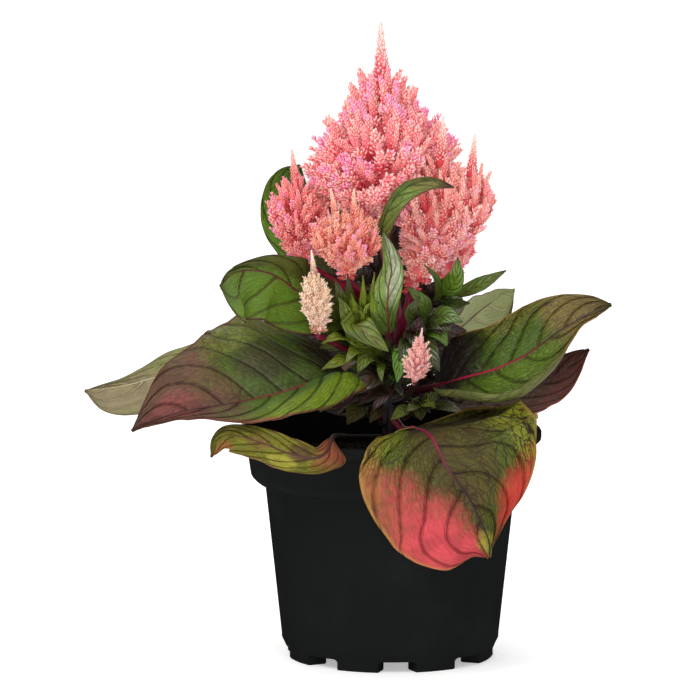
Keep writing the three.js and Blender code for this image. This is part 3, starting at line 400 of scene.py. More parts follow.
dice = random.Random(4)
crumb_models = []
for _ in range(CRUMB_SHAPES):
    select_only()
    bpy.ops.mesh.primitive_ico_sphere_add(subdivisions=1, radius=1)
    model = bpy.context.object
    for point in model.data.vertices:
        point.co = Vector([part * dice.uniform(0.6, 1.35) for part in point.co])
    apply_modifier(model, "SUBSURF", levels=1, render_levels=1)
    crumb_models.append(model)
crumbs = []
for _ in range(CRUMBS):
    radius, turn = CRUMB_SPREAD * math.sqrt(dice.uniform(0.02, 1)), dice.uniform(0, 2 * math.pi)
    x, y = radius * math.cos(turn), radius * math.sin(turn)
    size = CRUMB_LEAST + CRUMB_RANGE * dice.random() ** 3
    crumb = copy_of(dice.choice(crumb_models))
    stretch = Matrix.Diagonal((size * dice.uniform(0.8, 2.2), size, size * 0.7, 1))
    spin = Matrix.Rotation(dice.uniform(0, 6.3), 4, "Z") @ Matrix.Rotation(dice.uniform(-0.5, 0.5), 4, "X")
    spot = Matrix.Translation((x, y, SOIL_TOP - 0.3 + float(lumps(x, y)) + 0.15 * size))
    crumb.data.transform(Matrix.Scale(MM, 4) @ spot @ spin @ stretch)
    crumbs.append(crumb)
for model in crumb_models:
    bpy.data.objects.remove(model)
bed = join("peat_bed", [bed, *crumbs])
bpy.ops.object.shade_smooth()

peat = Finish("moist_peat", shine=0.2)
clods = peat.noise(260.0, 6.0)
specks = peat.cells(peat.place(), 700.0, "F1")
earth = peat.blend(paint("0d0906"), paint("2b1e15"), clods.rises(0.35, 0.75))
peat.set("Base Color", peat.blend(earth, paint("6b5238"), specks.rises(0.22, 0.05) * clods.rises(0.5, 0.7)))
peat.set("Roughness", 0.65 + clods * 0.3)
peat.relief(clods + specks * 0.4, 0.0008)
bed.data.materials.append(peat.material)
hand_over(bed, "soil", "peat")

# ---------------------------------------------------------------- main stem and branches
# One fleshy crimson stem, ridged along its length, painted dark low down as painted shade. It forks
# into a thin branch for each side plume, and it grows out of the hole in the peat.
STEM_PATH = [
    [0.2, 0.2, 50], [0.2, 0, SOIL_TOP], [0.8, -0.4, 100], [2.2, 0, 125], [0.4, 2, 150], [-4.4, 5, 176],
]
STEM_RADII = ([0, 0.25, 0.5, 1], [3.6, 3.6, 3.1, 2.2])
SEAT_GAP = 0.3
CURVE_STEPS = 801
RIDGES = 7


def unit(vectors):
    return vectors / np.linalg.norm(vectors, axis=-1, keepdims=True)


class Spine:
    """A smooth curve through points, with places on it given from 0 to 1 by length."""

    def __init__(self, points):
        knots = np.array(points, float)
        ends = np.vstack([2 * knots[0] - knots[1], knots, 2 * knots[-1] - knots[-2]])
        steps = np.linspace(0, len(knots) - 1, CURVE_STEPS)
        first = np.minimum(steps.astype(int), len(knots) - 2)
        t = (steps - first)[:, None]
        before, low, high, after = (ends[first + shift] for shift in range(4))
        leave, arrive = (high - before) / 2, (after - low) / 2
        self.points = (
            low + leave * t + (3 * (high - low) - 2 * leave - arrive) * t**2
            + (2 * (low - high) + leave + arrive) * t**3
        )
        lengths = np.linalg.norm(np.diff(self.points, axis=0), axis=1)
        self.shares = np.append(0, np.cumsum(lengths))
        self.length = self.shares[-1]
        self.shares /= self.length
        self.ways = unit(np.gradient(self.points, self.shares, axis=0))

    def at(self, share):
        return np.stack([np.interp(share, self.shares, column) for column in self.points.T], -1)

    def way(self, share):
        return unit(np.stack([np.interp(share, self.shares, column) for column in self.ways.T], -1))


def tube(name, points, radius, sides=12, rows=24, ridges=0.0):
    """A closed round rod along a spine. radius(share) gives its radius, and ridges furrow it."""
    spine = Spine(points)
    overall = unit(np.array(points[-1], float) - np.array(points[0], float))
    helper = np.eye(3)[np.argmin(np.abs(overall))]

    def place(u, v):
        cap = (u < 0.5 / rows) | (u > 1 - 0.5 / rows)
        share = np.clip((u * rows - 1) / (rows - 2), 0, 1)
        way = spine.way(share)
        side = unit(np.cross(way, helper))
        over = np.cross(side, way)
        turn = v * 2 * np.pi
        reach = radius(share) * (1 + ridges * np.cos(RIDGES * turn)) * ~cap
        return spine.at(share) + (side.T * (np.cos(turn) * reach) + over.T * (np.sin(turn) * reach)).T

    return sew(sheet(name, sides, rows, place))


stem_spine = Spine(STEM_PATH)


def stem_at(height):
    """The middle of the stem at a height, and its radius there."""
    share = np.interp(height, stem_spine.points[:, 2], stem_spine.shares)
    return stem_spine.at(share), np.interp(share, *STEM_RADII)


def stem_seat(height, toward, stalk_radius):
    """Where a stalk that heads for a point starts, just off the stem's skin."""
    centre, radius = stem_at(height)
    way = np.array(toward, float) - centre
    out = unit(way * (1, 1, 0))
    tilt = math.sqrt(max(0, 1 - float(unit(way) @ out) ** 2))
    return centre + out * (radius + SEAT_GAP + stalk_radius * tilt)


BRANCHES = {  # the height of its fork, its bend, its end, and its radius at the end
    "right": (124, [6, -7.5, 137], [9, -10, 150], 1.7),
    "left": (137, [-18, 1, 147], [-35.5, -4, 158.5], 1.3),
    "front": (131, [-8, -14, 142], [-17, -26, 153], 1.5),
    "cream": (117, [-13, -18, 123], [-29.3, -37, 133], 1.1),
    "small": (101, [6, -20, 106], [9.4, -38, 115], 1),
    "rear": (141, [-1, 19, 149], [-6, 36, 158.5], 1.5),
    "rear_right": (132, [12, 9, 140], [22, 18, 148], 1.4),
}

rods = [tube("stem", STEM_PATH, lambda share: np.interp(share, *STEM_RADII), 42, 90, ridges=0.035)]
for fork, bend, end, thickness in BRANCHES.values():
    root = stem_at(fork)[0].tolist()
    rods.append(
        tube("branch", [root, bend, end], lambda share: thickness * (1.25 - 0.25 * share), 14, 30, 0.03)
    )
stem = join("crimson_stem", rods)

sap = Finish("crimson_stem", shine=0.35)
height = sap.split(sap.place())[2]
streaks = sap.noise(900.0, 3.0, (1, 1, 0.08))
# Painted shade: dark maroon up to about 112 mm, where the leaves shade the stem, and crimson from 150 mm.
skin_and_shade = sap.blend(paint("1c080c"), paint("8c1036"), height.rises(0.112, 0.15))
skin_and_shade = sap.blend(skin_and_shade, paint("7d8a3c"), streaks.rises(0.66, 0.8) * 0.35)
sap.set("Base Color", sap.blend(skin_and_shade, paint("4a0a1d"), streaks.rises(0.5, 0.3) * 0.6))
sap.set("Roughness", 0.34 + streaks * 0.16)
sap.relief(streaks, 0.0002)
stem.data.materials.append(sap.material)
hand_over(stem, "main_stem", "stem")

# ---------------------------------------------------------------- large leaves
# Fourteen soft, pointed leaves round the stem. Each is a thin blade, quilted between its side veins, on
# a fleshy stalk that runs on under it as the midrib. The upper face and the underside differ in colour.
WIDTH_STATIONS = np.array([0, 0.07, 0.2, 0.4, 0.6, 0.8, 0.93, 1])
BLADE_THICKNESS = 0.5
BLADE_LIFT = 0.2
VEIN_RISE, VEIN_LINE, VEIN_BOW = 0.42, 0.4, 0.6  # how far side veins rise, and how straight or bowed
MARGIN_START = 0.955
STALK_FLARE, RIB_START = 1.15, 0.78  # as shares of the stalk's radius
RIB_TAPER = 0.78  # the share of its thickness that a midrib loses on its way to the tip


def half(widths, fold=(0, 0, 0), cup=(0, 0, 0), lobe=3, apron=0, roll=(0, 0, 0), rolled=0.3):
    """Half of a blade: widths at the stations, angles in degrees, lengths, and the share that rolls."""
    return {
        "widths": np.array([0, *widths, 0], float), "fold": fold, "cup": cup, "lobe": lobe,
        "apron": apron, "roll": roll, "rolled": rolled,
    }


def spread(values, at):
    return np.interp(at, np.linspace(0, 1, len(values)), values)


def width_at(widths, at):
    """The half width at places from 0 to 1: a smooth curve through the widths at the stations."""
    wide_stations, wide = (np.pad(row, 1, mode="edge") for row in (WIDTH_STATIONS, widths))
    slopes = (wide[2:] - wide[:-2]) / (wide_stations[2:] - wide_stations[:-2])
    row = np.clip(np.searchsorted(WIDTH_STATIONS, at) - 1, 0, len(widths) - 2)
    length = WIDTH_STATIONS[row + 1] - WIDTH_STATIONS[row]
    t = (at - WIDTH_STATIONS[row]) / length
    return (
        (2 * t**3 - 3 * t**2 + 1) * widths[row] + (t**3 - 2 * t**2 + t) * length * slopes[row]
        + (3 * t**2 - 2 * t**3) * widths[row + 1] + (t**3 - t**2) * length * slopes[row + 1]
    )


def blade_skin(leaf, spine, u, v, lift):
    """Points on a blade. u runs from its foot to its tip, and v from 1 at the left edge, as seen from
    the stem, to -1 at the right edge. lift is the height above the middle of the blade."""
    share = leaf["stalk"] + (1 - leaf["stalk"]) * u
    along = spine.way(share)
    faces = unit(np.array(leaf["faces"], float))
    face = np.stack([spread(column, u) for column in faces.T], -1)
    side = unit(np.cross(face, along))
    up = np.cross(along, side)
    reach, sign = np.abs(v), np.where(v >= 0, 1.0, -1.0)

    def pick(read):
        return np.where(v >= 0, read(leaf["left"]), read(leaf["right"]))

    width = pick(lambda own: width_at(own["widths"], u))
    width = np.maximum(width, leaf["stalk_radius"] * (1 - 0.75 * u))
    fold, cup = (pick(lambda own: spread(own[name], u)) for name in ("fold", "cup"))
    chord = np.radians(fold + cup * reach**2 / 3)
    lean = np.radians(fold + cup * reach**2) * np.minimum(1, reach * 4)
    apron, lobe, rolled = (pick(lambda own: own[name]) for name in ("apron", "lobe", "rolled"))
    sweep = apron * u**5 * np.minimum(1, width / 20) - lobe * (1 - u) ** 3
    height, count = leaf["wave"]
    ripple = np.sin(2 * np.pi * (count * u + np.where(v > 0, 0.1, 0.45)))
    frill = 0.25 * np.sin(2 * np.pi * (3.3 * count * u + sign)) * reach**6
    rise = lift + height * (reach**2 * ripple + frill) * np.sin(np.pi * u)
    # The margin rolls up round a circle, its angle growing evenly from where the roll starts.
    turn = np.radians(pick(lambda own: spread(own["roll"], u))) + 1e-6
    past = np.clip((reach - 1 + rolled) / rolled, 0, 1)
    lap = rolled * width / turn
    lifted, drawn = lap * (1 - np.cos(turn * past)), lap * (turn * past - np.sin(turn * past))
    out = up * np.cos(lean)[:, None] - side * (sign * np.sin(lean))[:, None]
    inward = side * (-sign * np.cos(lean))[:, None] - up * np.sin(lean)[:, None]
    return (
        spine.at(share)
        + side * (v * width * np.cos(chord))[:, None]
        + up * (reach * width * np.sin(chord))[:, None]
        + along * (sweep * reach**1.5)[:, None]
        + out * (rise + lifted)[:, None]
        + inward * drawn[:, None]
    )


def vein_phase(count, u, v):
    """Whole numbers of this lie on the side veins, which leave the midrib in turn left and right."""
    reach = np.abs(v)
    return (u - VEIN_RISE * (VEIN_LINE * reach + VEIN_BOW * reach**2)) * count + 0.5 * (v > 0)


def blade(name, leaf, spine, across, along):
    """A leaf's blade as a thin sheet. thicken gives it its thickness, and then its second material is the
    underside.
    """

    def place(u, x):
        v = 1 - 2 * x
        swell = np.abs(np.sin(np.pi * vein_phase(leaf["veins"], u, v))) ** 0.7 - 0.5
        reach = np.abs(v)
        calm = np.minimum(1, reach * 6) * (1 - 0.8 * reach**4) * np.sin(np.pi * np.clip(u, 0.02, 0.98)) ** 0.4
        return blade_skin(leaf, spine, u, v, BLADE_LIFT + leaf["quilt"] * swell * calm)

    made = sheet(name, across, along, place)
    bpy.ops.object.shade_smooth()
    return made


def thicken(made):
    walls = dict(thickness=BLADE_THICKNESS * MM, offset=-1, material_offset=1, use_quality_normals=True)
    apply_modifier(made, "SOLIDIFY", **walls)


def midrib(name, leaf, spine, sides=12):
    """The stalk and the midrib, one tapered rod that sinks into the blade from below."""
    shares = np.linspace(0, 1, 40)
    stalk = shares < leaf["stalk"]
    u = np.clip((shares - leaf["stalk"]) / (1 - leaf["stalk"]), 0, 0.985)
    thick = leaf["stalk_radius"] * np.where(stalk, 1, RIB_START * (1 - RIB_TAPER * u))
    thick[0] *= STALK_FLARE
    proud = BLADE_LIFT + 0.1 + 0.2 * thick
    sink = np.clip(u / 0.05, 0, 1) * np.maximum(thick - proud, 0)
    path = np.where(stalk[:, None], spine.at(shares), blade_skin(leaf, spine, u, 0 * u, -sink))
    return tube(name, path, lambda share: np.interp(share, shares, thick), sides, 60)


class LeafPattern:
    """The signals that leaf finishes share: places on the blade, the side veins and the nets."""

    def __init__(self, finish, count, wander=0.25):
        flat = finish.node("ShaderNodeTexCoord", {}, output=2)
        x, self.u, _ = finish.split(flat)
        self.finish = finish
        self.v = 1 - x * 2
        self.reach = reach = abs(self.v)
        self.wobble = wobble = finish.noise(55.0, 3.0) - 0.5
        rise = (reach * VEIN_LINE + reach * reach * VEIN_BOW) * VEIN_RISE
        phase = (self.u - rise) * count + self.v.maths("GREATER_THAN", 0) * 0.5 + wobble * wander
        self.away = 0.5 - abs(phase.repeat() - 0.5)
        ruffle = finish.noise(260.0, 2.0) - 0.5
        rows = {0: phase * 3.6 + wobble + ruffle * 0.5, 1: self.v * 12 + wobble * 3 + ruffle * 0.7}
        self.grid = finish.node("ShaderNodeCombineXYZ", rows)

    def net(self, scale):
        """How far away the nearest small vein is. A larger scale makes a finer net."""
        return self.finish.cells(self.grid, scale)


def leaf_face(name, leaf):
    """The upper face of a leaf: patches of colour, a dark net and side veins with a blush round them."""
    face = Finish(name, shine=leaf.get("shine", 0.3))
    pattern = LeafPattern(face, leaf["veins"])
    u, v, reach, wobble, away = pattern.u, pattern.v, pattern.reach, pattern.wobble, pattern.away
    net, small_net = pattern.net(1.0), pattern.net(2.6)
    broad = face.noise(38.0, 4.0)
    fine = face.noise(420.0, 4.0)
    mottle = face.noise(130.0, 3.0).rises(0.42, 0.68) * 0.7
    low, high = (paint(code) for code in leaf["blade"])
    colour = face.blend(low, high, broad.rises(0.3, 0.7) * 0.7 + fine * 0.3)

    def spot(under, code, place, size, strength, soft=0.0):
        du, dv = (u - place[0]) * (1 / size[0]), (v - place[1]) * (1 / size[1])
        far = du * du + dv * dv + wobble * 1.2 + (fine - 0.5) * 0.9
        mottled = face.blend(paint(code), paint(code, 0.62), mottle)
        return face.blend(under, mottled, far.rises(1.3 + soft, 0.35 - soft) * strength)

    for patch in leaf["patches"]:
        colour = spot(colour, *patch)
    ends = reach.most(u * 1.6 - 0.7)
    veins = away.rises(0.035, 0.01) * (1 - reach * 0.35)
    lines = net.rises(0.1, 0.02) * 0.8 + small_net.rises(0.14, 0.02) * (broad.rises(0.35, 0.6) * 0.6 + 0.25)
    blush, amount = leaf["blush"]
    near_vein = away.rises(0.09, 0.01) * 0.4 + reach.rises(0.2, 0.02) * 0.5
    colour = face.blend(colour, paint(blush), near_vein * amount)
    colour = face.blend(colour, paint(leaf["vein"]), lines.least(1.0) * (ends * 0.6 + 0.4) * leaf["net"])
    for patch in leaf.get("bloom", []):
        colour = spot(colour, *patch)
    colour = face.blend(colour, paint(leaf["vein"]), veins * 0.85)
    edge, edge_share = leaf["edge"]
    rim = (reach + wobble * 0.03).rises(MARGIN_START, 0.985) * edge_share
    face.set("Base Color", face.blend(colour, paint(edge), rim))
    face.set("Roughness", leaf.get("gloss", 0.42) + veins * 0.15 + fine * 0.12)
    face.relief(net.rises(0.0, 0.3) * 0.3 + away.rises(0.0, 0.12) * 0.9 + fine * 0.12, 0.0009)
    return face.material


def leaf_back(name, leaf):
    """The underside: paler and duller, with raised veins."""
    face = Finish(name, roughness=0.6, shine=0.2)
    pattern = LeafPattern(face, leaf["veins"])
    low, high, vein = (paint(code) for code in leaf["under"])
    colour = face.blend(low, high, face.noise(38.0, 4.0).rises(0.3, 0.7))
    veins = pattern.away.rises(0.09, 0.03) * (1 - pattern.reach * 0.6)
    lines = pattern.net(1.0).rises(0.07, 0.02)
    face.set("Base Color", face.blend(colour, vein, veins * 0.8 + lines * 0.22))
    face.relief(veins + lines * 0.5 + face.noise(420.0, 4.0) * 0.2, 0.0005)
    return face.material


def rib_flesh(name, leaf):
    """The midrib is brightest near the stem and takes the colour of the veins towards the tip. Where a leaf
    asks for it, the foot of the midrib by the stem is painted dark instead: painted shade.
    """
    flesh = Finish(name, roughness=0.4, shine=0.35)
    flat = flesh.node("ShaderNodeTexCoord", {}, output=2)
    along = flesh.split(flat)[1]
    streaks = flesh.noise(500.0, 3.0)
    colour = flesh.blend(paint(leaf["rib"]), paint(leaf["rib"], 0.45), streaks * 0.8)
    # Painted shade: the foot of the midrib by the stem darkens where the leaf's base lies in deep shade.
    foot, foot_shade_share = leaf.get("rib_foot_shade", ("000000", 0.0))
    colour = flesh.blend(colour, paint(foot), along.rises(0.34, 0.16) * foot_shade_share)
    flesh.set("Base Color", flesh.blend(colour, paint(leaf["vein"]), along.rises(0.38, 0.78)))
    flesh.relief(streaks, 0.0001)
    return flesh.material


def pair(*sizes, **more):
    """The two halves of a leaf that is the same on both sides."""
    own = half(*sizes, **more)
    return dict(left=own, right=own)


UNDER_PALE = ("7d8a5c", "98a37a", "b9a58f")
UNDER_RED = ("5d4a3c", "7a6a50", "8d3a48")
# A leaf's start is its height on the stem, its stalk a share of its length. A patch or a bloom has a
# colour, a place and a size along and across the blade, a strength and, where given, a softness.
LEAVES = {
    "leaf_left_front": dict(
        start=108, stalk=0.2, stalk_radius=1.5, faces=[[0.1, -0.65, 0.7], [-0.05, -0.8, 0.6]],
        spine=[
            [-15, -14, 113.5], [-26, -22, 114], [-38, -36, 111.5], [-50, -48, 110], [-63.5, -60, 109],
            [-78.5, -67, 107.5], [-90.5, -71, 104.5], [-99.5, -73, 100.5],
        ],
        left=half([16, 20, 18, 13, 4.5, 1.5], [75, 25, 15], [-150, -20, 0], 10),
        right=half([20, 35, 35.5, 29.5, 20, 6.5], [20, 22, 15], [-20, -30, 0], 4),
        wave=(1.2, 3), veins=6.5, quilt=1.1, grid=(64, 120), slot="leaf_green",
        blade=("405d19", "638125"), vein="2c100e", blush=("45302a", 0.5), net=0.55, rib="a81a42",
        edge=("5c2c20", 0.8), under=UNDER_RED,
        patches=[
            ("799218", (0.28, 0.9), (0.35, 0.4), 0.75), ("5b673c", (0.3, -0.2), (0.25, 0.35), 0.5),
            ("828640", (0.45, -0.88), (0.35, 0.28), 0.65), ("4a3830", (0.33, -0.42), (0.2, 0.26), 0.55),
            # 2c1610, dark at the foot of the blade by the stem, is painted shade.
            ("2c1610", (0.0, -0.6), (0.12, 0.6), 0.85), ("6b4538", (1.0, 0), (0.48, 1.9), 0.92),
            ("8c423f", (0.84, 0.1), (0.17, 0.6), 0.7), ("7a4a38", (0.7, 1), (0.25, 0.18), 0.7),
            ("a5643f", (0.55, 1), (0.15, 0.1), 0.6),
        ],
    ),
    "leaf_left_rear": dict(
        start=103, stalk=0.24, stalk_radius=1.3, faces=[[0, -0.4, 0.9], [-0.1, -0.6, 0.8]],
        spine=[
            [-16, 8, 108.5], [-29, 14, 110.5], [-56, 20, 112.5], [-84, 24, 110], [-106.5, 24, 104.5],
            [-122.5, 24, 102.5],
        ],
        left=half([10, 20, 26, 27, 21, 14], [8, 8, 8]), right=half([10, 17, 17, 14, 5, 2], [8, 8, 8]),
        wave=(1.2, 2), veins=6, quilt=0.6, grid=(44, 84), slot="leaf_olive",
        blade=("787647", "918d57"), vein="aea47c", blush=("817355", 0.4), net=0.2, rib="b0a07c",
        edge=("6b5340", 0.7), under=UNDER_PALE,
        patches=[("778b31", (0.3, -0.3), (0.4, 0.9), 0.8), ("8d7a5e", (0.95, 0.1), (0.3, 1), 0.7)],
    ),
    "leaf_left_upper": dict(
        start=128, stalk=0.25, stalk_radius=1.3, faces=[[0.1, -0.65, 0.7], [-0.1, -1, 0.3]],
        spine=[
            [-15, -12, 136.5], [-27, -18, 142.5], [-36, -27, 148.5], [-45.5, -34, 156], [-55, -39, 158.5],
            [-61.5, -44, 157.5], [-66, -50, 153.5],
        ],
        left=half([9, 15, 18.5, 20.5, 20, 16.3], [2, 0, 0], [10, 10, 0], apron=24),
        right=half([9, 14, 14, 8.5, 3, 1.5], [10, 10, 5], [-10, -10, 0]),
        wave=(0.8, 2), veins=4.5, quilt=0.7, grid=(56, 84), slot="leaf_green",
        blade=("446110", "5e8220"), vein="4f1a1e", blush=("484815", 0.4), net=0.25, rib="7a1a35",
        edge=("4a2420", 0.9), under=UNDER_PALE,
        patches=[("48480e", (0.45, -0.7), (0.6, 0.5), 0.75), ("36430d", (0.05, 0), (0.25, 1.2), 0.7)],
    ),
    "leaf_upper_rear": dict(
        start=146, stalk=0.33, stalk_radius=1.2, faces=[[0.3, -0.9, 0.2], [0.3, -0.9, -0.1]],
        spine=[
            [-15, 12, 146.5], [-28, 20, 155], [-35, 25, 161.5], [-39.5, 28, 169], [-41, 31, 178.5],
            [-39.5, 33, 186.5], [-36, 34, 192.5],
        ],
        left=half([7, 11, 11, 12, 10, 5], [6, 6, 6], [-8, -8, 0]),
        right=half([6, 10, 12, 12, 10, 5], [6, 6, 6]),
        wave=(0.9, 3), veins=5, quilt=0.6, grid=(40, 64), slot="leaf_green",
        blade=("45610e", "608614"), vein="2c3b12", blush=("375010", 0.5), net=0.2, rib="57431b",
        edge=("303e11", 0.6), under=UNDER_PALE,
        patches=[("30480a", (0.1, 0), (0.4, 1), 0.6)],
    ),
    "leaf_upright": dict(
        start=120, stalk=0.26, stalk_radius=1.1, faces=[[0.2, -0.95, 0.2], [0.3, -0.95, 0.2]],
        spine=[
            [-1, -13, 128.5], [-1, -22, 136], [-1.5, -27, 143.5], [-1, -29, 151], [0, -31.5, 158.5],
            [-1.5, -33.5, 166.5], [-3, -34.5, 172.5],
        ],
        left=half([4, 5.5, 7, 5.5, 2.6, 1.6], [10, 10, 0], lobe=1),
        right=half([2.4, 2.8, 4.8, 5.5, 3.8, 1.8], [20, 10, -20], lobe=1),
        wave=(0.4, 2), veins=5, quilt=0.4, grid=(32, 64), slot="leaf_green",
        blade=("6a8640", "94ae56"), vein="5a2a2c", blush=("4e5530", 0.3), net=0.1, rib="7d2a3a", gloss=0.28,
        edge=("6b2a2c", 0.5), under=UNDER_PALE,
        # ccd2b4, the pale patch towards the tip on the right half, is a painted sheen.
        patches=[("ccd2b4", (0.7, -0.3), (0.42, 0.6), 0.65), ("55761e", (0.15, 0), (0.3, 1), 0.6)],
    ),
    "leaf_arching": dict(
        start=148, stalk=0.33, stalk_radius=1, faces=[[-0.6, -0.8, 0.1], [-0.1, -0.85, 0.55]],
        spine=[
            [-1, -15, 159.5], [-3.5, -20, 169], [-2, -26.5, 178.5], [3, -32.5, 187.5], [9.5, -36, 192],
            [17, -38, 193], [24, -41, 191],
        ],
        left=half([1.5, 1.8, 2, 2.2, 1.8, 0.9], [20, 20, 10], lobe=1),
        right=half([3, 6, 7.5, 7, 5, 2.5], [20, 20, 20], lobe=1),
        wave=(0.4, 2), veins=6, quilt=0.35, grid=(32, 64), slot="leaf_green",
        blade=("607630", "8aa04c"), vein="2c2e13", blush=("403d22", 0.25), net=0.2, rib="484822",
        edge=("5a3030", 0.8), under=UNDER_PALE,
        patches=[("86723d", (0.85, 0), (0.2, 1.5), 0.7), ("5a3c30", (1.0, 0), (0.12, 1.5), 0.8)],
    ),
    "leaf_right_large": dict(
        start=106, stalk=0.2, stalk_radius=1.6, faces=[[-0.25, -0.65, 0.7], [-0.1, -0.9, 0.4]],
        spine=[
            [15, -9, 108], [22, -16, 111], [28.5, -22, 114], [38.5, -28, 117.5], [45, -31, 120.5],
            [54, -34, 125.5], [65.5, -37, 134.5], [77, -38, 141.5], [85.5, -38, 145],
        ],
        left=half([15, 18, 17, 17, 12.5, 6], [20, 15, 5], [10, 10, 0], 5),
        right=half(
            [9, 19, 25.5, 18.5, 4.5, 2.5], [22, 10, 5], [20, 20, 10], 4, roll=(150, 120, 0), rolled=0.3
        ),
        wave=(1, 3), veins=6, quilt=0.9, grid=(60, 110), slot="leaf_green",
        blade=("39550f", "55741a"), vein="2c1210", blush=("3c2c20", 0.4), net=0.95, rib="b0143f",
        # The dark foot of the midrib is painted shade.
        rib_foot_shade=("1c0609", 0.9), edge=("865e21", 0.7), under=("494e25", "686d35", "43362a"),
        patches=[
            ("717116", (0.72, 0.95), (0.4, 0.4), 0.7), ("5f7c11", (0.5, -0.35), (0.25, 0.4), 0.6),
            ("7b8025", (0.72, -0.95), (0.3, 0.25), 0.6), ("86703a", (0.98, 0), (0.33, 1.5), 0.88),
            # The near-black patch at the foot of the blade, by the stem, is painted shade.
            ("070503", (0.0, 0.4), (0.33, 1.3), 0.97),
        ],
    ),
    "leaf_right_rear": dict(
        start=117, stalk=0.35, stalk_radius=1.2, faces=[[-0.3, 0.6, 0.75], [-0.2, 0.6, 0.8]],
        spine=[
            [14, 14, 119.5], [22.5, 24, 124], [29, 31, 128], [36.5, 38, 133.5], [44, 43, 138],
            [50.5, 46, 141],
        ],
        left=half([8, 12, 15, 17, 15, 8], [0, -25, -40], roll=(0, -140, -160), rolled=0.2),
        right=half([8, 12, 14, 11, 6, 2], [8, 8, 8]),
        wave=(0.8, 2), veins=5, quilt=0.6, grid=(44, 64), slot="leaf_olive",
        blade=("4b5e14", "687b1f"), vein="552a26", blush=("483a22", 0.4), net=0.3, rib="a39169",
        edge=("7a5a48", 0.8), under=("9aa268", "acb47e", "b2ac80"),
        patches=[("6b4f3c", (0.95, 0), (0.3, 1.4), 0.6), ("7c5640", (0.6, 1.0), (0.6, 0.35), 0.9)],
    ),
    "leaf_right_low": dict(
        start=99, stalk=0.25, stalk_radius=1.3, faces=[[-0.2, -0.5, 0.85], [-0.2, -0.8, 0.5]],
        spine=[
            [15, 14, 98], [27.5, 24, 95.5], [44.5, 32, 96.5], [56.5, 36, 100.5], [69, 38, 108],
            [80.5, 38, 117.5],
        ],
        left=half([8, 14, 16, 10, 7, 3.5], [10, 10, 10], [5, 5, 5]),
        right=half([8, 13, 15, 15, 10, 4], [16, 16, 8]),
        wave=(0.9, 3), veins=6, quilt=0.6, grid=(44, 72), slot="leaf_maroon",
        blade=("3a1604", "521f0a"), vein="1f0d09", blush=("331812", 0.5), net=0.45, rib="4d1a1c",
        edge=("8a4030", 0.8), under=UNDER_RED,
        patches=[("41380d", (0.35, -0.2), (0.4, 0.6), 0.5), ("6b3524", (0.8, -0.8), (0.4, 0.4), 0.5)],
    ),
    "leaf_front": dict(
        start=94, stalk=0.22, stalk_radius=1.7,
        faces=[[0.1, -0.5, 0.85], [0.1, -0.95, 0.3], [0.15, -1, 0.05]],
        spine=[
            [5.5, -14, 92], [10.5, -34, 95.5], [15.5, -56, 95.5], [20.5, -68, 87], [29, -73, 75.5],
            [34, -74, 65.5], [37, -74, 58.5], [37.5, -73, 51.5],
        ],
        left=half([24, 35, 39, 39.5, 20, 2.5], [3, 2, 0], (0, 0, 0), 12, roll=(150, 0, 0), rolled=0.22),
        right=half([10, 18, 31, 35, 30, 8], [0, -2, 0], (0, 0, 0), -8, apron=16),
        wave=(1.2, 3), veins=6, quilt=1.0, grid=(72, 110), slot="leaf_red",
        blade=("3f4616", "5c6a20"), vein="1e080c", blush=("382618", 0.65), net=1.0, rib="a01446",
        shine=0.14, edge=("b08c40", 0.4), under=("7a7a4c", "92905c", "8a7458"),
        patches=[
            # 1e1604, dark at the foot of the blade by the stem, is painted shade.
            ("86881c", (0.24, 0.85), (0.3, 0.3), 0.75), ("1e1604", (0.08, 0.25), (0.22, 0.9), 0.9),
            ("7a8220", (0.2, -0.75), (0.22, 0.4), 0.7), ("544622", (0.5, 0.05), (0.35, 0.5), 0.75),
            ("93842e", (0.36, -0.95), (0.22, 0.24), 0.7), ("7f8420", (0.6, 0.9), (0.14, 0.25), 0.7),
        ],
        bloom=[
            ("a2583e", (0.66, -0.95), (0.26, 0.34), 0.8, 0.4),
            ("c8454e", (0.85, -0.6), (0.32, 0.46), 0.95, 0.45),
            ("b0342c", (0.81, 0.85), (0.12, 0.42), 0.92, 0.4), ("ad4c2c", (0.52, 1.0), (0.05, 0.2), 0.8),
            ("8a8430", (1.0, 0.0), (0.13, 0.6), 0.9),
        ],
    ),
    "leaf_front_left": dict(
        start=88, stalk=0.5, stalk_radius=0.9, faces=[[0, -0.6, 0.8], [-0.1, -0.8, 0.6], [-0.4, -0.9, 0.1]],
        spine=[
            [-15, -30, 92], [-21, -50, 95.5], [-23, -59, 95.5], [-25, -65, 91.5], [-29, -67.5, 89.2],
            [-36, -67.5, 90.2], [-43, -67, 92.2], [-50, -66, 95], [-61.5, -65, 98], [-66.5, -64, 95.7],
            [-69.5, -63, 89],
        ],
        left=half([9, 6.2, 7, 7, 6.6, 3], [-55, -10, 0], lobe=1),
        right=half([3, 5.5, 6.5, 6.2, 3.8, 2], lobe=1),
        wave=(0.8, 2), veins=6, quilt=0.5, grid=(36, 84), slot="leaf_olive",
        # The near-black stalk, 120a08, is painted shade where it passes into the dark of the pot.
        blade=("64690f", "878a13"), vein="4a2418", blush=("6b4a2f", 0.35), net=0.7, rib="120a08",
        edge=("8a4a30", 0.6), under=UNDER_PALE,
        patches=[
            ("99452f", (0.0, 0.1), (0.26, 1.5), 0.92), ("5a3624", (0.32, -0.2), (0.1, 0.7), 0.75),
            ("bcb53c", (0.42, 0.6), (0.1, 0.4), 0.75), ("7a5a2c", (0.6, 0.0), (0.08, 0.6), 0.6),
            ("c27a3c", (0.88, 0.8), (0.12, 0.6), 0.8), ("5c5612", (0.78, -0.7), (0.2, 0.4), 0.5),
        ],
    ),
    "leaf_back": dict(
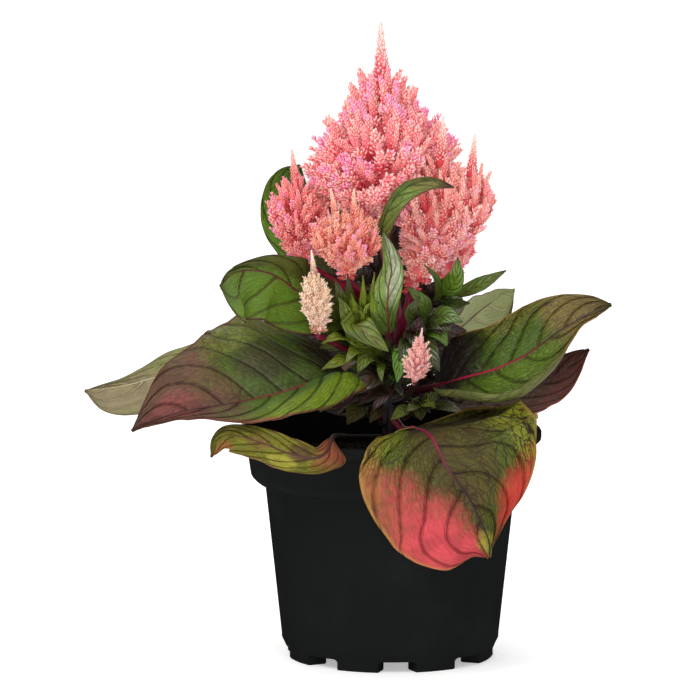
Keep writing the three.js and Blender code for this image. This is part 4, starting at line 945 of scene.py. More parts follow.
        start=110, stalk=0.22, stalk_radius=1.5, faces=[[0, 0.4, 0.9], [0, 0.8, 0.5]],
        spine=[[-2, 18, 117.5], [-5, 40, 122], [-8, 62, 118], [-11, 80, 107], [-13, 92, 94]],
        **pair([13, 22, 26, 23, 14, 6], [16, 12, 5], [-10, -10, 0], 6),
        wave=(1.4, 3), veins=6.5, quilt=1.0, grid=(60, 110), slot="leaf_green",
        blade=("435514", "68781d"), vein="2c1714", blush=("3f332a", 0.5), net=0.45, rib="a3163f",
        edge=("6b3a2a", 0.8), under=UNDER_RED,
        patches=[("734a3c", (0.97, 0), (0.35, 1.3), 0.8), ("868121", (0.5, 0.95), (0.4, 0.3), 0.6)],
    ),
    "leaf_back_left": dict(
        start=95, stalk=0.24, stalk_radius=1.4, faces=[[-0.2, 0.3, 0.9], [-0.4, 0.6, 0.6]],
        spine=[[-12, 18, 99], [-26, 38, 100], [-41, 56, 97], [-52, 68, 89], [-60, 76, 78]],
        **pair([11, 19, 21, 18, 10, 4], [12, 8, 5], lobe=4),
        wave=(1.2, 3), veins=6, quilt=0.8, grid=(52, 84), slot="leaf_red",
        blade=("5b5912", "7b771d"), vein="34201c", blush=("4a3a30", 0.6), net=0.6, rib="a81a4b",
        edge=("ba8a23", 0.7), under=UNDER_PALE,
        patches=[
            ("d5544c", (0.85, 0.2), (0.35, 0.7), 0.9), ("8b8b1a", (0.25, -0.5), (0.3, 0.5), 0.7),
            ("c07a50", (0.6, -0.9), (0.3, 0.3), 0.7),
        ],
    ),
    "leaf_back_right": dict(
        start=124, stalk=0.28, stalk_radius=1.3, faces=[[-0.1, 0.3, 0.9], [0.1, 0.6, 0.7]],
        spine=[[6, 17, 130], [12, 35, 134], [18, 50, 132], [23, 62, 125], [27, 70, 116]],
        **pair([7, 12, 14, 12, 8, 3], [14, 10, 5], lobe=4),
        wave=(1, 2), veins=5.5, quilt=0.7, grid=(44, 72), slot="leaf_green",
        blade=("485d11", "68811d"), vein="4a1f1e", blush=("483f22", 0.4), net=0.25, rib="86203c",
        edge=("55302a", 0.8), under=UNDER_PALE,
        patches=[("5f4a30", (0.95, 0), (0.3, 1.3), 0.7)],
    ),
}

for name, leaf in LEAVES.items():
    start = stem_seat(leaf["start"], leaf["spine"][0], leaf["stalk_radius"])
    spine = Spine([start.tolist(), *leaf["spine"]])
    made = blade(name, leaf, spine, *leaf["grid"])
    made.data.materials.append(leaf_face(name + "_face", leaf))
    made.data.materials.append(leaf_back(name + "_underside", leaf))
    thicken(made)
    rib = midrib(name + "_rib", leaf, spine)
    rib.data.materials.append(rib_flesh(name + "_rib", leaf))
    hand_over(join(name + "_blade", [made, rib]), name, leaf["slot"])

# ---------------------------------------------------------------- leafy shoots
# Short side shoots that crowd round the stem. Each has a few small leaves at the ends of thin stalks,
# and a tuft of unopened leaves at its own tip.
LEAFLET_WIDTHS = np.array([0.45, 0.8, 1, 0.85, 0.5, 0.2])
# A row is a small leaf: its place along the twig from 0 to 1, its middle, its tip, its half width, the
# way it faces and, where given, its tone. A low tone darkens a leaf deep among the others: painted
# shade. A fan is an azimuth in degrees and a number of leaves, and shade is the dark leaves that fill in
# behind the plumes, whose darkness is painted shade.
SHOOTS = {
    "shoot_left": dict(
        start=113, path=[[-8, -3, 119], [-13, -9, 124]], radius=1.2, tint=("444e0e", "849428", "2a1710"),
        leaves=[
            [0.95, [-20, -30, 131.5], [-27, -35, 129.5], 3.6, [0, -0.7, 0.7], 0.9],
            [0.8, [-19, -28, 122], [-27, -33, 119], 3.8, [0, -0.7, 0.7], 0.75],
            [0.9, [-12, -26, 136], [-15, -32, 141], 3, [0.2, -0.9, 0.4], 0.55],
            [0.7, [-14, -28, 126], [-18, -33, 121], 3.4, [0, -0.9, 0.4], 0.65],
            [1, [-14, -30, 142], [-15.5, -37, 149], 1.6, [0, -0.95, 0.3], 1.9],
            [0.9, [-11, -30, 139], [-14, -36, 143], 1.4, [0, -0.95, 0.3], 1.9],
            [1, [-19, -26, 145], [-22, -29, 154], 3.4, [0, -0.95, 0.3], 0.5],
            [0.95, [-16, -26, 147], [-17, -30, 156], 2.6, [0, -0.95, 0.3], 0.35],
            [0.9, [-24, -24, 140], [-30, -27, 146], 3, [0, -0.95, 0.3], 0.4],
            [1, [-19, -20, 129.5], [-26, -26, 128.5], 4, [0, -0.8, 0.6]],
            [0.85, [-20, -12, 126], [-28, -15, 125], 3.4, [0, -0.6, 0.8]],
            [0.7, [-18, -4, 124], [-26, -4, 122.5], 3, [0, -0.4, 0.9]],
            [0.8, [-22, -2, 127], [-37, 0, 129.5], 6, [0, -0.9, 0.4], 0.2],
            [1, [-11, -29, 147], [-11, -35, 156], 1.6, [0, -0.95, 0.3], 1.9],
            [1, [-8, -27, 146], [-6.5, -33, 157], 1.4, [0, -0.95, 0.3], 1.9],
            [0.9, [-9.5, -14, 128.5], [-13, -18, 131.5], 2.4, [0.3, -0.8, 0.5]],
        ],
    ),
    "shoot_front_left": dict(
        start=112, path=[[-2, -9, 118], [-4, -13, 121]], radius=1.2, tint=("465410", "8aa034", "2c2412"),
        leaves=[
            [0.9, [-9, -24, 139], [-5, -30, 145], 4.8, [0.5, -0.8, 0.3], 0.8],
            [0.95, [-12, -24, 138], [-16, -30, 147], 4.6, [-0.4, -0.85, 0.3], 0.65],
            [0.6, [-9, -24, 123], [-13, -30, 117], 4.2, [0, -0.85, 0.5], 0.55],
            [0.3, [-8, -26, 115], [-17, -31, 108], 5.5, [0, -0.9, 0.4], 0.02],
            [0.9, [-7, -30, 143], [-7.5, -37, 150.5], 1.5, [0, -0.95, 0.3], 1.9],
            [0.9, [-10, -26, 144], [-10.5, -31, 151], 3.6, [0.1, -0.95, 0.3], 0.6],
            [1, [-13, -25, 131], [-20.5, -30, 147], 4.8, [0.4, -0.9, 0.2]],
            [1, [-14, -30, 136], [-1, -37, 126.5], 6.5, [0.3, -0.85, 0.45], 0.6],
            [0.8, [-4, -24, 118], [-3.5, -26, 112.5], 1.9, [0, -1, 0.2]],
            [0.5, [-10, -17, 116.5], [-16, -21, 118.5], 3.4, [0, -0.7, 0.7]],
        ],
    ),
    "shoot_right_upper": dict(
        start=129, path=[[12, -4, 137], [19, -11, 144]], radius=1.2, tint=("394c0e", "5b7c1c", "2b1813"),
        leaves=[
            [0.95, [25, -24, 153], [26, -28, 162], 4.2, [-0.2, -1, 0.1]],
            [1, [33, -19, 149.5], [45, -22, 156.5], 3.6, [-0.3, -0.7, 0.6]],
            [0.85, [25, -13, 142], [31, -16, 143], 2.8, [0, -0.7, 0.7]],
            [0.9, [18, -25, 153], [13, -33, 160], 1.5, [0.2, -0.9, 0.3]],
        ],
    ),
    "shoot_right_mid": dict(
        start=117, path=[[8, -9, 127], [14, -15, 134]], radius=1.2, tint=("374511", "597a20", "2a140f"),
        leaves=[
            [0.9, [8, -26, 140], [11, -30, 147], 3, [0, -0.95, 0.3], 0.45],
            [0.8, [10, -22, 132], [11.5, -25, 139], 4, [0, -0.95, 0.3], 0.1],
            [0.7, [9, -24, 131], [12, -28, 124], 3.2, [0, -0.9, 0.4], 0.25],
            [0.6, [6, -20, 128], [3, -25, 121], 2.6, [0, -0.9, 0.4], 0.35],
            [0.8, [17, -22, 136], [24, -26, 133], 3.4, [0, -0.9, 0.4], 0.3],
            [1, [20.5, -24, 139], [28, -28, 137], 4, [0, -0.9, 0.4]],
            [0.85, [18.5, -22, 132], [22, -25, 127], 3.4, [0.2, -0.9, 0.3]],
            [0.95, [13, -25, 143], [6.5, -31, 151], 3.2, [0.3, -0.9, 0.3]],
            [0.5, [13, -18, 121], [16, -23, 117], 2.6, [0, -0.9, 0.4]],
            [0.9, [18, -10, 130], [30, -8, 131], 5, [0, -0.9, 0.4], 0.15],
            [0.9, [14, -26, 127], [19, -33, 118], 4, [0.1, -0.9, 0.4], 0.3],
        ],
    ),
    "shoot_front": dict(
        start=105, path=[[1, -9, 112], [2, -13, 118]], radius=1.2, tint=("3d5a12", "649625", "281c0f"),
        leaves=[
            [1, [4, -22, 124], [2.5, -27, 113], 3.6, [0, -1, 0.1]],
            [0.35, [-6, -22, 109.5], [-13, -30, 104.5], 4.4, [0.2, -0.8, 0.6], 0.12],
            [0.8, [7, -20, 117], [10, -26, 120], 2.2, [-0.2, -0.8, 0.5]],
        ],
    ),
    "shoot_left_low": dict(
        start=92, path=[[-7, -6, 98], [-10, -9, 102]], radius=1.1, tint=("3d3911", "6b6a1f", "2a1a12"),
        leaves=[
            [0.9, [-12, -24, 109], [-19, -28, 104], 4.5, [0, -0.8, 0.5], 0.1],
            [0.7, [-3, -22, 108], [-7, -28, 102], 4, [0, -0.9, 0.4], 0.05],
            [1, [-13, -19, 101], [-17, -24, 96], 4.4, [-0.2, -0.9, 0.4]],
            [0.8, [-5, -19, 101.5], [-8, -26, 97], 3, [0.2, -0.9, 0.4]],
            [0.9, [-20, -12, 104], [-28, -17, 100], 4, [0, -0.4, 0.9]],
            [0.5, [-13, 0, 99], [-21, 3, 96], 3.6, [0, 0.3, 0.9]],
        ],
    ),
    "shoot_front_low": dict(
        start=97, path=[[8, -5, 99.5], [11.5, -9, 102]], radius=1, tint=("4b541a", "809234", "3a2418"),
        leaves=[
            [0.75, [4.5, -19, 100.5], [0, -27, 98], 2.6, [0, -1, 0.3]],
            [0.9, [9, -20, 102.5], [6, -28, 101.5], 2.3, [0, -0.9, 0.5]],
            [0.95, [15, -18, 103.5], [17.5, -23, 102.5], 2.5, [0, -0.9, 0.5]],
            [1, [16.5, -19, 106.5], [15.5, -25, 105], 2.6, [0.2, -1, 0.1]],
            [0.6, [20, -5, 100.5], [29, -7, 98], 3.4, [0, -0.5, 0.9]],
        ],
    ),
    "shoot_back_low": dict(
        start=92, path=[[2, 10, 98], [4, 15, 103]], radius=1.2, tint=("353c0e", "566a1b", "24120d"),
        fan=(85, 4),
        # Dark leaves behind the plumes: their low tones are painted shade.
        shade=[
            [1, [8, 14, 104], [19, 19, 100], 7, [0.1, -0.9, 0.4], 0.1],
            [0.9, [-8, 16, 108], [-21, 20, 107], 8, [-0.1, -0.9, 0.4], 0.15],
            [0.9, [-14, 12, 99], [-26, 12, 96], 7, [-0.1, -0.8, 0.6], 0.1],
            [1, [0, 18, 114], [-4, 21, 126], 8, [0, -0.95, 0.3], 0.05],
        ],
    ),
    "shoot_back_right": dict(
        start=104, path=[[9, 4, 107], [15, 5, 109]], radius=1.2, tint=("323a0f", "53641a", "24110c"),
        fan=(12, 3),
        # Dark leaves behind the plumes: their low tones are painted shade.
        shade=[
            [1, [18, 12, 113], [31, 15, 117], 8, [0.1, -0.9, 0.4], 0.1],
            [0.9, [15, 14, 121], [24, 17, 131], 7, [0.1, -0.95, 0.2], 0.2],
            [0.8, [20, 6, 103], [32, 6, 104], 6.5, [0.1, -0.8, 0.5], 0.15],
        ],
    ),
    "shoot_back_upper": dict(
        start=132, path=[[-6, 10, 135], [-8, 16, 139]], radius=1.2, tint=("354611", "5e7c21", "281a10"),
        fan=(110, 4),
        # Dark leaves behind the plumes: their low tones are painted shade.
        shade=[
            [0.8, [-14, 12, 147], [-20, 13, 160], 8, [0, -0.95, 0.3], 0.1],
            [0.6, [-14, 10, 140], [-24, 12, 149], 8, [0, -0.95, 0.3], 0],
            [0.9, [-4, 14, 152], [-6, 15, 166], 7, [0, -0.95, 0.2], 0.15],
            [0.9, [5, 12, 158], [7, 13, 173], 7, [0, -0.95, 0.2], 0.1],
            [0.9, [-16, 14, 163], [-22, 9, 187], 5, [0, -0.95, 0.1], 0.5],
            [0.9, [-20, 14, 162], [-27, 7, 190], 5.5, [0, -0.95, 0.1], 0.3],
            [0.9, [0, 13, 160], [1, 12, 180], 6, [0, -0.95, 0.1], 0.1],
            [0.9, [-7, 14, 166], [-9, 10, 183], 6, [0, -0.95, 0.1], 0.2],
            [0.7, [-19, 12, 131], [-31, 14, 139], 7.5, [0, -0.95, 0.3], 0.15],
            [0.5, [-20, 10, 122], [-34, 12, 124], 7.5, [0, -0.9, 0.4], 0.1],
            [0.9, [0, 14, 144], [4, 17, 156], 7, [0, -0.95, 0.2], 0.1],
            [0.9, [10, 12, 138], [18, 14, 148], 6.5, [0, -0.95, 0.2], 0.2],
        ],
    ),
}
FAN_SPREAD = 120
LEAFLET_GRID = (16, 28)
CROWD, CROWD_GRID = 22, (8, 14)
# Crowd leaves whose tips lie further back than this are painted darker by this share: painted shade.
SHADED_BEHIND, SHADED_TONE = -14, 0.3


def draw(n):
    """A repeatable number from 0 to 1 for each whole n."""
    return (math.sin(n * 12.9898 + 4.1414) * 43758.5453) % 1


def fan_leaves(end, azimuth, count):
    """Leaves that spread round the end of a shoot, alternately rising and falling."""
    leaves = []
    for index in range(count):
        turn = math.radians(azimuth + FAN_SPREAD * (index / (count - 1) - 0.5))
        out = np.array([math.cos(turn), math.sin(turn), 0.35 if index % 2 else -0.15])
        length = 13 + 5 * draw(index + azimuth)
        middle = end + out * length * 0.55 + (0, 0, 2)
        face = [0.5 * out[0], 0.5 * out[1], 0.8]
        leaves.append([0.7 + 0.3 * draw(index), middle, end + out * length, 3 + 1.2 * draw(index + 7), face])
    return leaves


def leaflet(start, middle, tip, half_width, face, dice, tone_and_shade, grid):
    """A small leaf on its own thin stalk. Its tone runs from 0, dark and brownish, to 1, bright green; a low
    tone on a leaf deep among the others is partly painted shade.
    """
    leaf = dict(
        stalk=0.25, stalk_radius=0.7, faces=[face, face], veins=5, quilt=0.07 * half_width,
        wave=(0.06 * half_width * dice.uniform(0.6, 1.6), 2),
        **pair(LEAFLET_WIDTHS * half_width, (14, 10, 4), lobe=0),
    )
    spine = Spine([start, middle, tip])
    made = blade("leaflet", leaf, spine, *grid)
    thicken(made)
    stalk = midrib("leaflet_stalk", leaf, spine, 6)
    for part in (made, stalk):
        tone_and_shade_layer = part.data.attributes.new("tone_and_shade", "FLOAT", "POINT")
        tone_and_shade_layer.data.foreach_set("value", [tone_and_shade] * len(part.data.vertices))
    return [made, stalk]


def shoot_finish(name, tint):
    """Small leaves share one finish. Its colour drifts from leaf to leaf."""
    face = Finish(name, shine=0.55)
    pattern = LeafPattern(face, 5, 0.15)
    green, bright, dark = (paint(code) for code in tint)
    drift = face.noise(90.0, 2.0)
    fine = face.noise(900.0, 3.0)
    # Each small leaf's tone: its own green or brown, and for leaves deep in the foliage also painted shade.
    tone_and_shade = face.node("ShaderNodeAttribute", {}, output=2, attribute_name="tone_and_shade")
    mixed = tone_and_shade + (drift - 0.5) * 0.6 + (fine - 0.5) * 0.3
    colour = face.blend(dark, green, mixed.rises(0.1, 0.45))
    colour = face.blend(colour, bright, mixed.rises(0.45, 0.95))
    veins = pattern.away.rises(0.13, 0.03) * 0.5 + pattern.reach.rises(0.93, 0.99) * 0.4
    colour = face.blend(colour, dark, veins)
    face.set("Base Color", face.blend(colour, paint("8d3348"), pattern.reach.rises(0.09, 0.03) * 0.55))
    face.set("Roughness", 0.27 + fine * 0.2)
    face.relief(pattern.away.rises(0.0, 0.2) + fine * 0.2, 0.0003)
    return face.material


for name, shoot in SHOOTS.items():
    dice = random.Random(name)
    start = stem_seat(shoot["start"], shoot["path"][0], shoot["radius"])
    path = [start.tolist(), *shoot["path"]]
    spine = Spine(path)
    end = np.array(shoot["path"][-1], float)
    parts = [tube("twig", path, lambda share: shoot["radius"] * (1 - 0.2 * share), 10, 14)]
    leaves = shoot.get("leaves") or fan_leaves(end, *shoot["fan"]) + shoot["shade"]
    heading = unit(np.mean([np.array(row[2], float) for row in leaves], axis=0) - end)
    for share, middle, tip, half_width, face, *tone_and_shade in leaves:
        tone_and_shade = tone_and_shade[0] if tone_and_shade else dice.uniform(0.35, 0.9)
        start = spine.at(share * 0.97)
        parts += leaflet(start, middle, tip, half_width, face, dice, tone_and_shade, LEAFLET_GRID)
    for _ in range(CROWD):
        way = unit(heading + [dice.uniform(-1.1, 1.1), dice.uniform(-1, 0.5), dice.uniform(-0.6, 1.2)])
        length, share = dice.uniform(6, 13), dice.uniform(0.4, 1)
        root = spine.at(share)
        middle = root + way * length * 0.5 + (0, 0, dice.uniform(0, 1.5))
        face = [way[0] * 0.4 + dice.uniform(-0.4, 0.4), way[1] * 0.4 - 0.5, dice.uniform(0.3, 0.9)]
        # Crowd leaves that reach back past SHADED_BEHIND are painted darker: painted shade.
        tone_and_shade = dice.uniform(0, 0.7) * (SHADED_TONE if root[1] + way[1] * length > SHADED_BEHIND else 1)
        half_width = length * dice.uniform(0.17, 0.26)
        parts += leaflet(root, middle, root + way * length, half_width, face, dice, tone_and_shade, CROWD_GRID)
    made = join(name + "_leaves", parts)
    made.data.materials.append(shoot_finish(name, shoot["tint"]))
    # Both faces of a small leaf have the one finish.
    made.data.polygons.foreach_set("material_index", [0] * len(made.data.polygons))
    hand_over(made, name, "leaf_olive" if name == "shoot_left_low" else "leaf_green")

# ---------------------------------------------------------------- plumes
# Feathery flower heads. Each head is a soft core along its axis, packed all round with small flower
# spikes, and each spike is a slim rod set with papery, pointed florets. One tall spire ends the head.
CORE_SHARE = 0.5
CORE_TOP = 0.82
GOLDEN_TURN = math.radians(137.508)
FLORET_THICK, FLORET_WIDE, FLORET_SHOULDER = 0.14, 0.27, 0.45
SPIKE_GIRTHS, FILLER_GIRTH, SPIKES_PER_FILLER = (0.85, 1.2), 1.3, 4
RIVAL_MARGIN, SPIKE_TRIES, SPIKE_DRAWBACK = 0.12, 5, 0.85
SPIRE_GIRTH, SPIRE_TINT = 1.3, 2.0
FINGER = dict(florets=66, size=0.17, stand=26, radius=0.1, taper=0.6, power=2.6)
TUFT = dict(florets=36, size=0.27, stand=46, radius=0.08, taper=0.6, power=2.6)
SPIRE = dict(florets=170, size=0.1, stand=27, radius=0.125, taper=0.97, power=1.0)
PINK = dict(deep="e04e60", flesh="fa868f", light="ffc6b6", tip="fff4ea", frost="f083d2")
CORAL = dict(PINK, deep="cc3a48", flesh="f4767a", light="fdb0a0", tip="ffe6d8")
SALMON = dict(PINK, deep="cc4c4c", flesh="f28c7c", light="fbb79c", tip="ffe6cc")
ROSE = dict(PINK, deep="d84c54", flesh="f08684", light="fdc6b2", frost="f09cc8")
CREAM = dict(deep="b87e66", flesh="ebc09c", light="f7e0c2", tip="fff6ee", frost="f2c2be")
SHELL = dict(deep="c05a60", flesh="f2a39c", light="fbcfc0", tip="fff2e8", frost="eeb0c4")
# Each plume is its colours and its heads. A head's reach lists places along its axis and how far the
# spikes reach there. top is where the last spikes grow and base where the first do, spire the length
# of its end, and fingers the share of slim spikes among them.
PLUMES = {
    "plume_main": (PINK, dict(
        spikes=300, length=17, top=0.785, spire=27,
        axis=[[-4.2, 4.9, 173.5], [-2.5, 5, 205], [-4, 5, 235], [-4, 5, 252]],
        reach=[
            [0, 7], [0.05, 16], [0.13, 27], [0.24, 31], [0.36, 29.5], [0.5, 22.5], [0.58, 17.5],
            [0.66, 13.3], [0.72, 11.2], [0.77, 8.4], [0.8, 6], [0.83, 3], [1, 0.5],
        ],
    )),
    "plume_right": (ROSE, dict(
        spikes=115, length=13, spire=20,
        axis=[[8.5, -9.6, 147.5], [16, -11, 168], [19.5, -11, 190], [20.5, -11, 216]],
        reach=[[0, 3], [0.18, 9], [0.4, 16], [0.6, 15], [0.72, 9.5], [0.8, 5], [0.87, 2.5], [1, 0.5]],
    ), dict(
        spikes=95, length=12, spire=17,
        axis=[[15, -11, 160], [25, -11, 172], [31, -11, 190], [33, -11, 209]],
        reach=[[0, 5], [0.25, 11], [0.55, 12.5], [0.72, 8], [0.8, 4.5], [0.88, 2.5], [1, 0.5]],
    )),
    "plume_left": (CORAL, dict(
        spikes=130, length=10, spire=15, fingers=0.75,
        axis=[[-34.5, -3.7, 156], [-35.5, -5, 175], [-39, -5, 202.5]],
        reach=[[0, 3], [0.2, 8], [0.38, 11.8], [0.55, 11.2], [0.7, 7.5], [0.8, 3.5], [1, 0.5]],
    )),
    "plume_front": (SALMON, dict(
        spikes=80, length=8.5, spire=13, fingers=0.55,
        axis=[[-16.6, -25.5, 154], [-19.5, -27, 167], [-23.5, -27, 189]],
        reach=[[0, 2], [0.1, 4.5], [0.28, 9.5], [0.45, 11], [0.62, 9], [0.75, 4.5], [0.82, 2.5], [1, 0.5]],
    ), dict(
        spikes=80, length=8.5, spire=13, fingers=0.55,
        axis=[[-16.2, -26.4, 157], [-14.5, -28, 168], [-14.5, -27, 189]],
        reach=[[0, 3], [0.2, 9], [0.42, 11.5], [0.6, 9.5], [0.75, 4.5], [0.82, 2.5], [1, 0.5]],
    )),
    "plume_cream": (CREAM, dict(
        spikes=80, length=8, top=0.78, base=0.16, spire=10, fingers=0.3,
        axis=[[-28.2, -35.6, 131.2], [-29, -40, 148], [-31, -40, 166.5]],
        reach=[
            [0, 0.8], [0.12, 2], [0.2, 3.8], [0.32, 5.2], [0.52, 5.6], [0.66, 4.2], [0.76, 2.4], [1, 0.5],
        ],
    )),
    "plume_small": (SHELL, dict(
        spikes=60, length=5.5, top=0.86, base=0.15, spire=7, fingers=0.5,
        axis=[[9, -36.4, 113.6], [10, -41, 124], [12, -43, 136.5]],
        reach=[[0, 1.5], [0.2, 4], [0.36, 5.2], [0.55, 4.8], [0.76, 2.4], [1, 0.4]],
    )),
    "plume_rear": (PINK, dict(
        spikes=95, length=11, spire=15,
        axis=[[-5.5, 34, 157.2], [-7, 40, 174], [-7, 40, 200]],
        reach=[[0, 3], [0.22, 9], [0.46, 12], [0.65, 9.5], [0.8, 3.5], [1, 0.5]],
    )),
    "plume_rear_right": (PINK, dict(
        spikes=80, length=10, spire=13,
        axis=[[20.5, 17, 146], [24, 21, 162], [25, 21, 184]],
        reach=[[0, 3], [0.22, 8], [0.46, 10.5], [0.65, 8], [0.8, 3], [1, 0.5]],
    )),
}


def mark_growth(made, rows):
    """Keeps for each point how far it is along its spike, its spike's tint and how far along its floret."""
    growth = made.data.attributes.get("growth") or made.data.attributes.new("growth", "FLOAT_VECTOR", "POINT")
    growth.data.foreach_set("vector", np.asarray(rows, float).ravel())


def read_growth(made):
    rows = np.empty(len(made.data.vertices) * 3)
    made.data.attributes["growth"].data.foreach_get("vector", rows)
    return rows.reshape(-1, 3)


def spike_model(name, dice, bend, florets, size, stand, radius, taper, power):
    """A spike of length 1 that rises along Z and bends towards X. Its florets stand out by an angle."""

    def girth(share):
        return radius * (1 - taper * share**power)

    def place(u, v):
        cap = (u < 0.1) | (u > 0.9)
        share = np.clip((u - 0.125) / 0.75, 0, 1)
        ring = np.stack([np.cos(v * 2 * np.pi), np.sin(v * 2 * np.pi), 0 * v], 1)
        spot = np.stack([bend * share**2, 0 * share, share * 0.95], 1)
        return (spot + ring * (girth(share) * 0.75 * ~cap)[:, None]) / MM

    core = sew(sheet(name, 6, 8, place))
    mark_growth(core, [(point.co.z, 0, 0.15) for point in core.data.vertices])
    parts = [core]
    for index in range(florets):
        share = 0.06 + 0.93 * ((index + 0.5) / florets) ** 0.9
        select_only()
        bpy.ops.mesh.primitive_cone_add(vertices=4, radius1=1, radius2=0, depth=2, end_fill_type="TRIFAN")
        floret = bpy.context.object
        heights = []
        for point in floret.data.vertices:
            foot = point.co.z < 0 and point.co.xy.length < 0.1
            heights.append(0.0 if foot else 1.0 if point.co.z > 0 else FLORET_SHOULDER)
            point.co = (point.co.x * FLORET_THICK, point.co.y * FLORET_WIDE, heights[-1])
        long = size * dice.uniform(0.75, 1.25) * (1 - 0.35 * share)
        lean = math.radians(stand * (1 - 0.55 * share) + dice.uniform(-9, 9))
        turn = index * GOLDEN_TURN + dice.uniform(-0.2, 0.2)
        seat = share * 0.97
        floret.data.transform(
            Matrix.Translation((bend * seat**2, 0, seat))
            @ Matrix.Rotation(turn, 4, "Z")
            @ Matrix.Translation((girth(share) * 0.6, 0, 0))
            @ Matrix.Rotation(lean, 4, "Y")
            @ Matrix.Rotation(dice.uniform(-0.6, 0.6), 4, "Z")
            @ Matrix.Scale(long, 4)
        )
        mark_growth(floret, [(share, 0, height) for height in heights])
        parts.append(floret)
    made = join(name, parts)
    bpy.ops.object.shade_smooth()
    return made


dice = random.Random(11)
fingers = [spike_model("finger", dice, bend, **FINGER) for bend in (0.02, 0.09, 0.16)]
tufts = [spike_model("tuft", dice, bend, **TUFT) for bend in (0.0, 0.12, 0.24)]
spires = [spike_model("spire", dice, 0.0, **SPIRE)]
growths = {model: read_growth(model) for model in fingers + tufts + spires}


def place_spike(model, root, tip, girth, tint):
    """A copy of a spike from its root to its tip. It bends upwards."""
    way = Vector(tip - root)
    size = way.length
    upward = Vector((1, 0, 0)) if abs(way.normalized().z) > 0.97 else Vector((0, 0, 1))
    side = upward.cross(way).normalized()
    bend = way.cross(side).normalized()
    turned = Matrix([-bend, side, way.normalized()]).transposed().to_4x4()
    stretch = Matrix.Diagonal((size * girth, size * girth, size, 1))
    spike = copy_of(model)
    spike.data.transform(Matrix.Scale(MM, 4) @ Matrix.Translation(Vector(root)) @ turned @ stretch)
    rows = growths[model].copy()
    rows[:, 1] = tint
    mark_growth(spike, rows)
    return spike


class Head:
    """A flower head: its axis, and how far its spikes reach at each place along it."""

    def __init__(self, axis, reach, spikes, length, spire, top=0.8, base=0.0, fingers=1.0):
        self.spine = Spine(axis)
        self.marks, self.reaches = np.array(reach, float).T
        self.spikes, self.length, self.spire = spikes, length, spire
        self.top, self.base, self.fingers = top, base, fingers

    def reach(self, share):
        return np.interp(share, self.marks, self.reaches)

    def nearness(self, point):
        """How far out a point is from the axis, as a share of the reach at its height."""
        shares = np.linspace(0, 1, 41)
        away = np.linalg.norm(self.spine.at(shares) - point, axis=1) / (self.reach(shares) + 0.5)
        return away.min()


def outward(turn):
    """The level way out at a turn about the Z axis."""
    return np.array([math.cos(turn), math.sin(turn), 0])


def core_of(head):
    """The soft middle that a head's spikes grow from."""
    last = CORE_TOP * head.top

    def girth(share):
        return head.reach(share * last) * CORE_SHARE * (1 - 0.9 * share**3)

    core = tube("core", head.spine.at(np.linspace(0, last, 8)).tolist(), girth, 16, 40)
    mark_growth(core, [(0.38, 0.3, 0.2)] * len(core.data.vertices))
    return core


def spikes_of(head, others, dice):
    """The spikes that make a head's outline: tufts low down and fingers above. They stand steeper the
    higher they grow, and keep off the places that belong to another head."""
    spikes = []
    grid = np.linspace(head.base, head.top, 200)
    crowd = np.cumsum(head.reach(grid) + 3)
    for index in range(head.spikes):
        share = float(np.interp((index + dice.uniform(0.2, 0.8)) / head.spikes, crowd / crowd[-1], grid))
        high = share / head.top
        out = outward(index * GOLDEN_TURN + dice.uniform(-0.25, 0.25))
        finger = dice.random() < high * 1.75 * head.fingers - 0.35
        length = head.length * dice.uniform(0.8, 1.15) * (0.8 + 0.25 * high)
        steep = min(0.1 + 0.9 * min(1, high * 1.35) + dice.uniform(-0.1, 0.08), 0.985)
        length = min(length, 3 + 1.4 * head.reach(share))
        reach = head.reach(share) * dice.uniform(0.93, 1.1) - length * (0.1 if finger else 0.06)
        tip = head.spine.at(share) + out * max(reach, 0.8)
        root = tip - length * (out * math.sqrt(1 - steep**2) + (0, 0, steep))
        for _ in range(SPIKE_TRIES):
            if all(other.nearness(tip) > head.nearness(tip) - RIVAL_MARGIN for other in others):
                break
            tip = root + (tip - root) * SPIKE_DRAWBACK
        else:
            continue
        model = dice.choice(fingers if finger else tufts)
        spikes.append(place_spike(model, root, tip, dice.uniform(*SPIKE_GIRTHS), dice.random()))
    return spikes


def fillers_of(head, others, dice):
    """Wider tufts that stand a little further in, so that the core doesn't show between the spikes."""
    fillers = []
    count = head.spikes // SPIKES_PER_FILLER
    for index in range(count):
        share = head.top * (0.15 + 0.7 * (index + 0.5) / count)
        out = outward(index * GOLDEN_TURN + 1)
        tip = head.spine.at(share) + out * head.reach(share) * dice.uniform(0.72, 0.86)
        if any(other.nearness(tip) < head.nearness(tip) for other in others):
            continue
        root = tip - min(head.length * 0.8, 2 + head.reach(share)) * (out * 0.88 + (0, 0, 0.47))
        fillers.append(place_spike(dice.choice(tufts), root, tip, FILLER_GIRTH, dice.uniform(0.2, 0.8)))
    return fillers


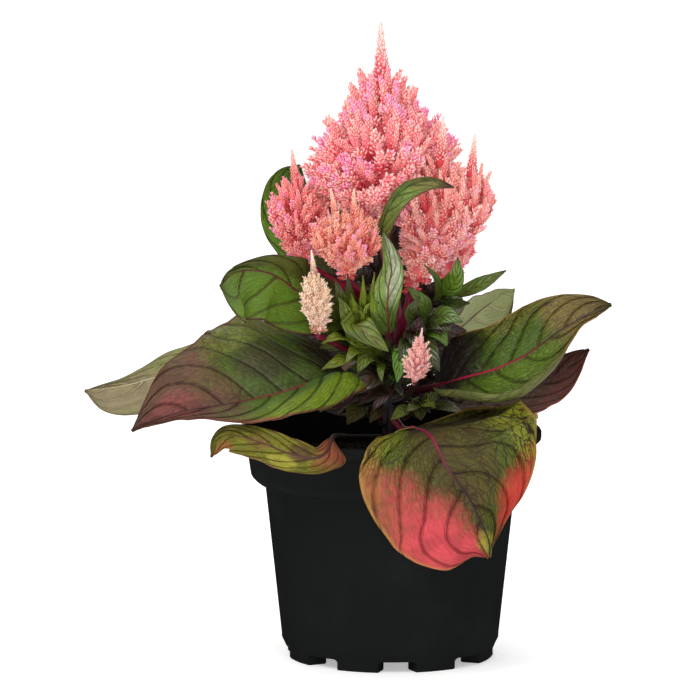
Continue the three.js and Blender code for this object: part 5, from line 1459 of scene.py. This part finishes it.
def spire_of(head):
    """The tall spike that ends a head."""
    foot = head.spine.at(1 - head.spire / head.spine.length)
    return place_spike(spires[0], foot, head.spine.at(1.0), SPIRE_GIRTH, SPIRE_TINT)


def plume_finish(name, colours):
    petals = Finish(name, shine=0.25)
    growth = petals.node("ShaderNodeAttribute", {}, output=1, attribute_name="growth")
    along, tint, floret = petals.split(growth)
    spire = tint.maths("GREATER_THAN", 0.5 + 0.5 * SPIRE_TINT)
    tint = tint.least(1.0)
    drift = petals.noise(70.0, 2.0)
    fine = petals.noise(1500.0, 2.0)
    deep, flesh, pale, tip, frost = (
        paint(colours[part]) for part in ("deep", "flesh", "light", "tip", "frost")
    )
    colour = petals.blend(deep, flesh, along.rises(0.05, 0.62))
    light = floret.rises(0.15, 0.9) * 0.5 + tint * 0.45 + (drift - 0.5) * 0.9
    colour = petals.blend(colour, pale, light * along.rises(0.2, 0.8))
    colour = petals.blend(colour, tip, floret.rises(0.45, 1.0) * (tint * 0.6 + 0.32))
    colour = petals.blend(colour, frost, along.rises(0.6, 1.0) * drift.rises(0.48, 0.62) * 0.55)
    colour = petals.blend(colour, tip, spire * along.rises(0.4, 1.0) * 0.4)
    petals.set("Base Color", colour)
    # The petals glow faintly in their own colour: painted light, standing in for light that shines through
    # them and lifting their shade.
    petals.set("Emission Color", colour)
    petals.set("Emission Strength", 0.07)
    petals.set("Roughness", 0.45 + fine * 0.25)
    petals.relief(fine, 0.0001)
    return petals.material


heads = {name: [Head(**row) for row in rows] for name, (_, *rows) in PLUMES.items()}
for seed, (name, (colours, *_)) in enumerate(PLUMES.items()):
    parts = []
    for index, head in enumerate(heads[name]):
        others = [other for rival, rows in heads.items() if rival != name for other in rows]
        dice = random.Random(10 * seed + index)
        parts.append(core_of(head))
        parts += spikes_of(head, others, dice) + fillers_of(head, others, dice)
        parts.append(spire_of(head))
    made = join(name + "_head", parts)
    bpy.ops.object.shade_smooth()
    made.data.materials.clear()
    made.data.materials.append(plume_finish(name, colours))
    hand_over(made, name, "plume_cream" if name == "plume_cream" else "plume_pink")
for model in fingers + tufts + spires:
    bpy.data.objects.remove(model)
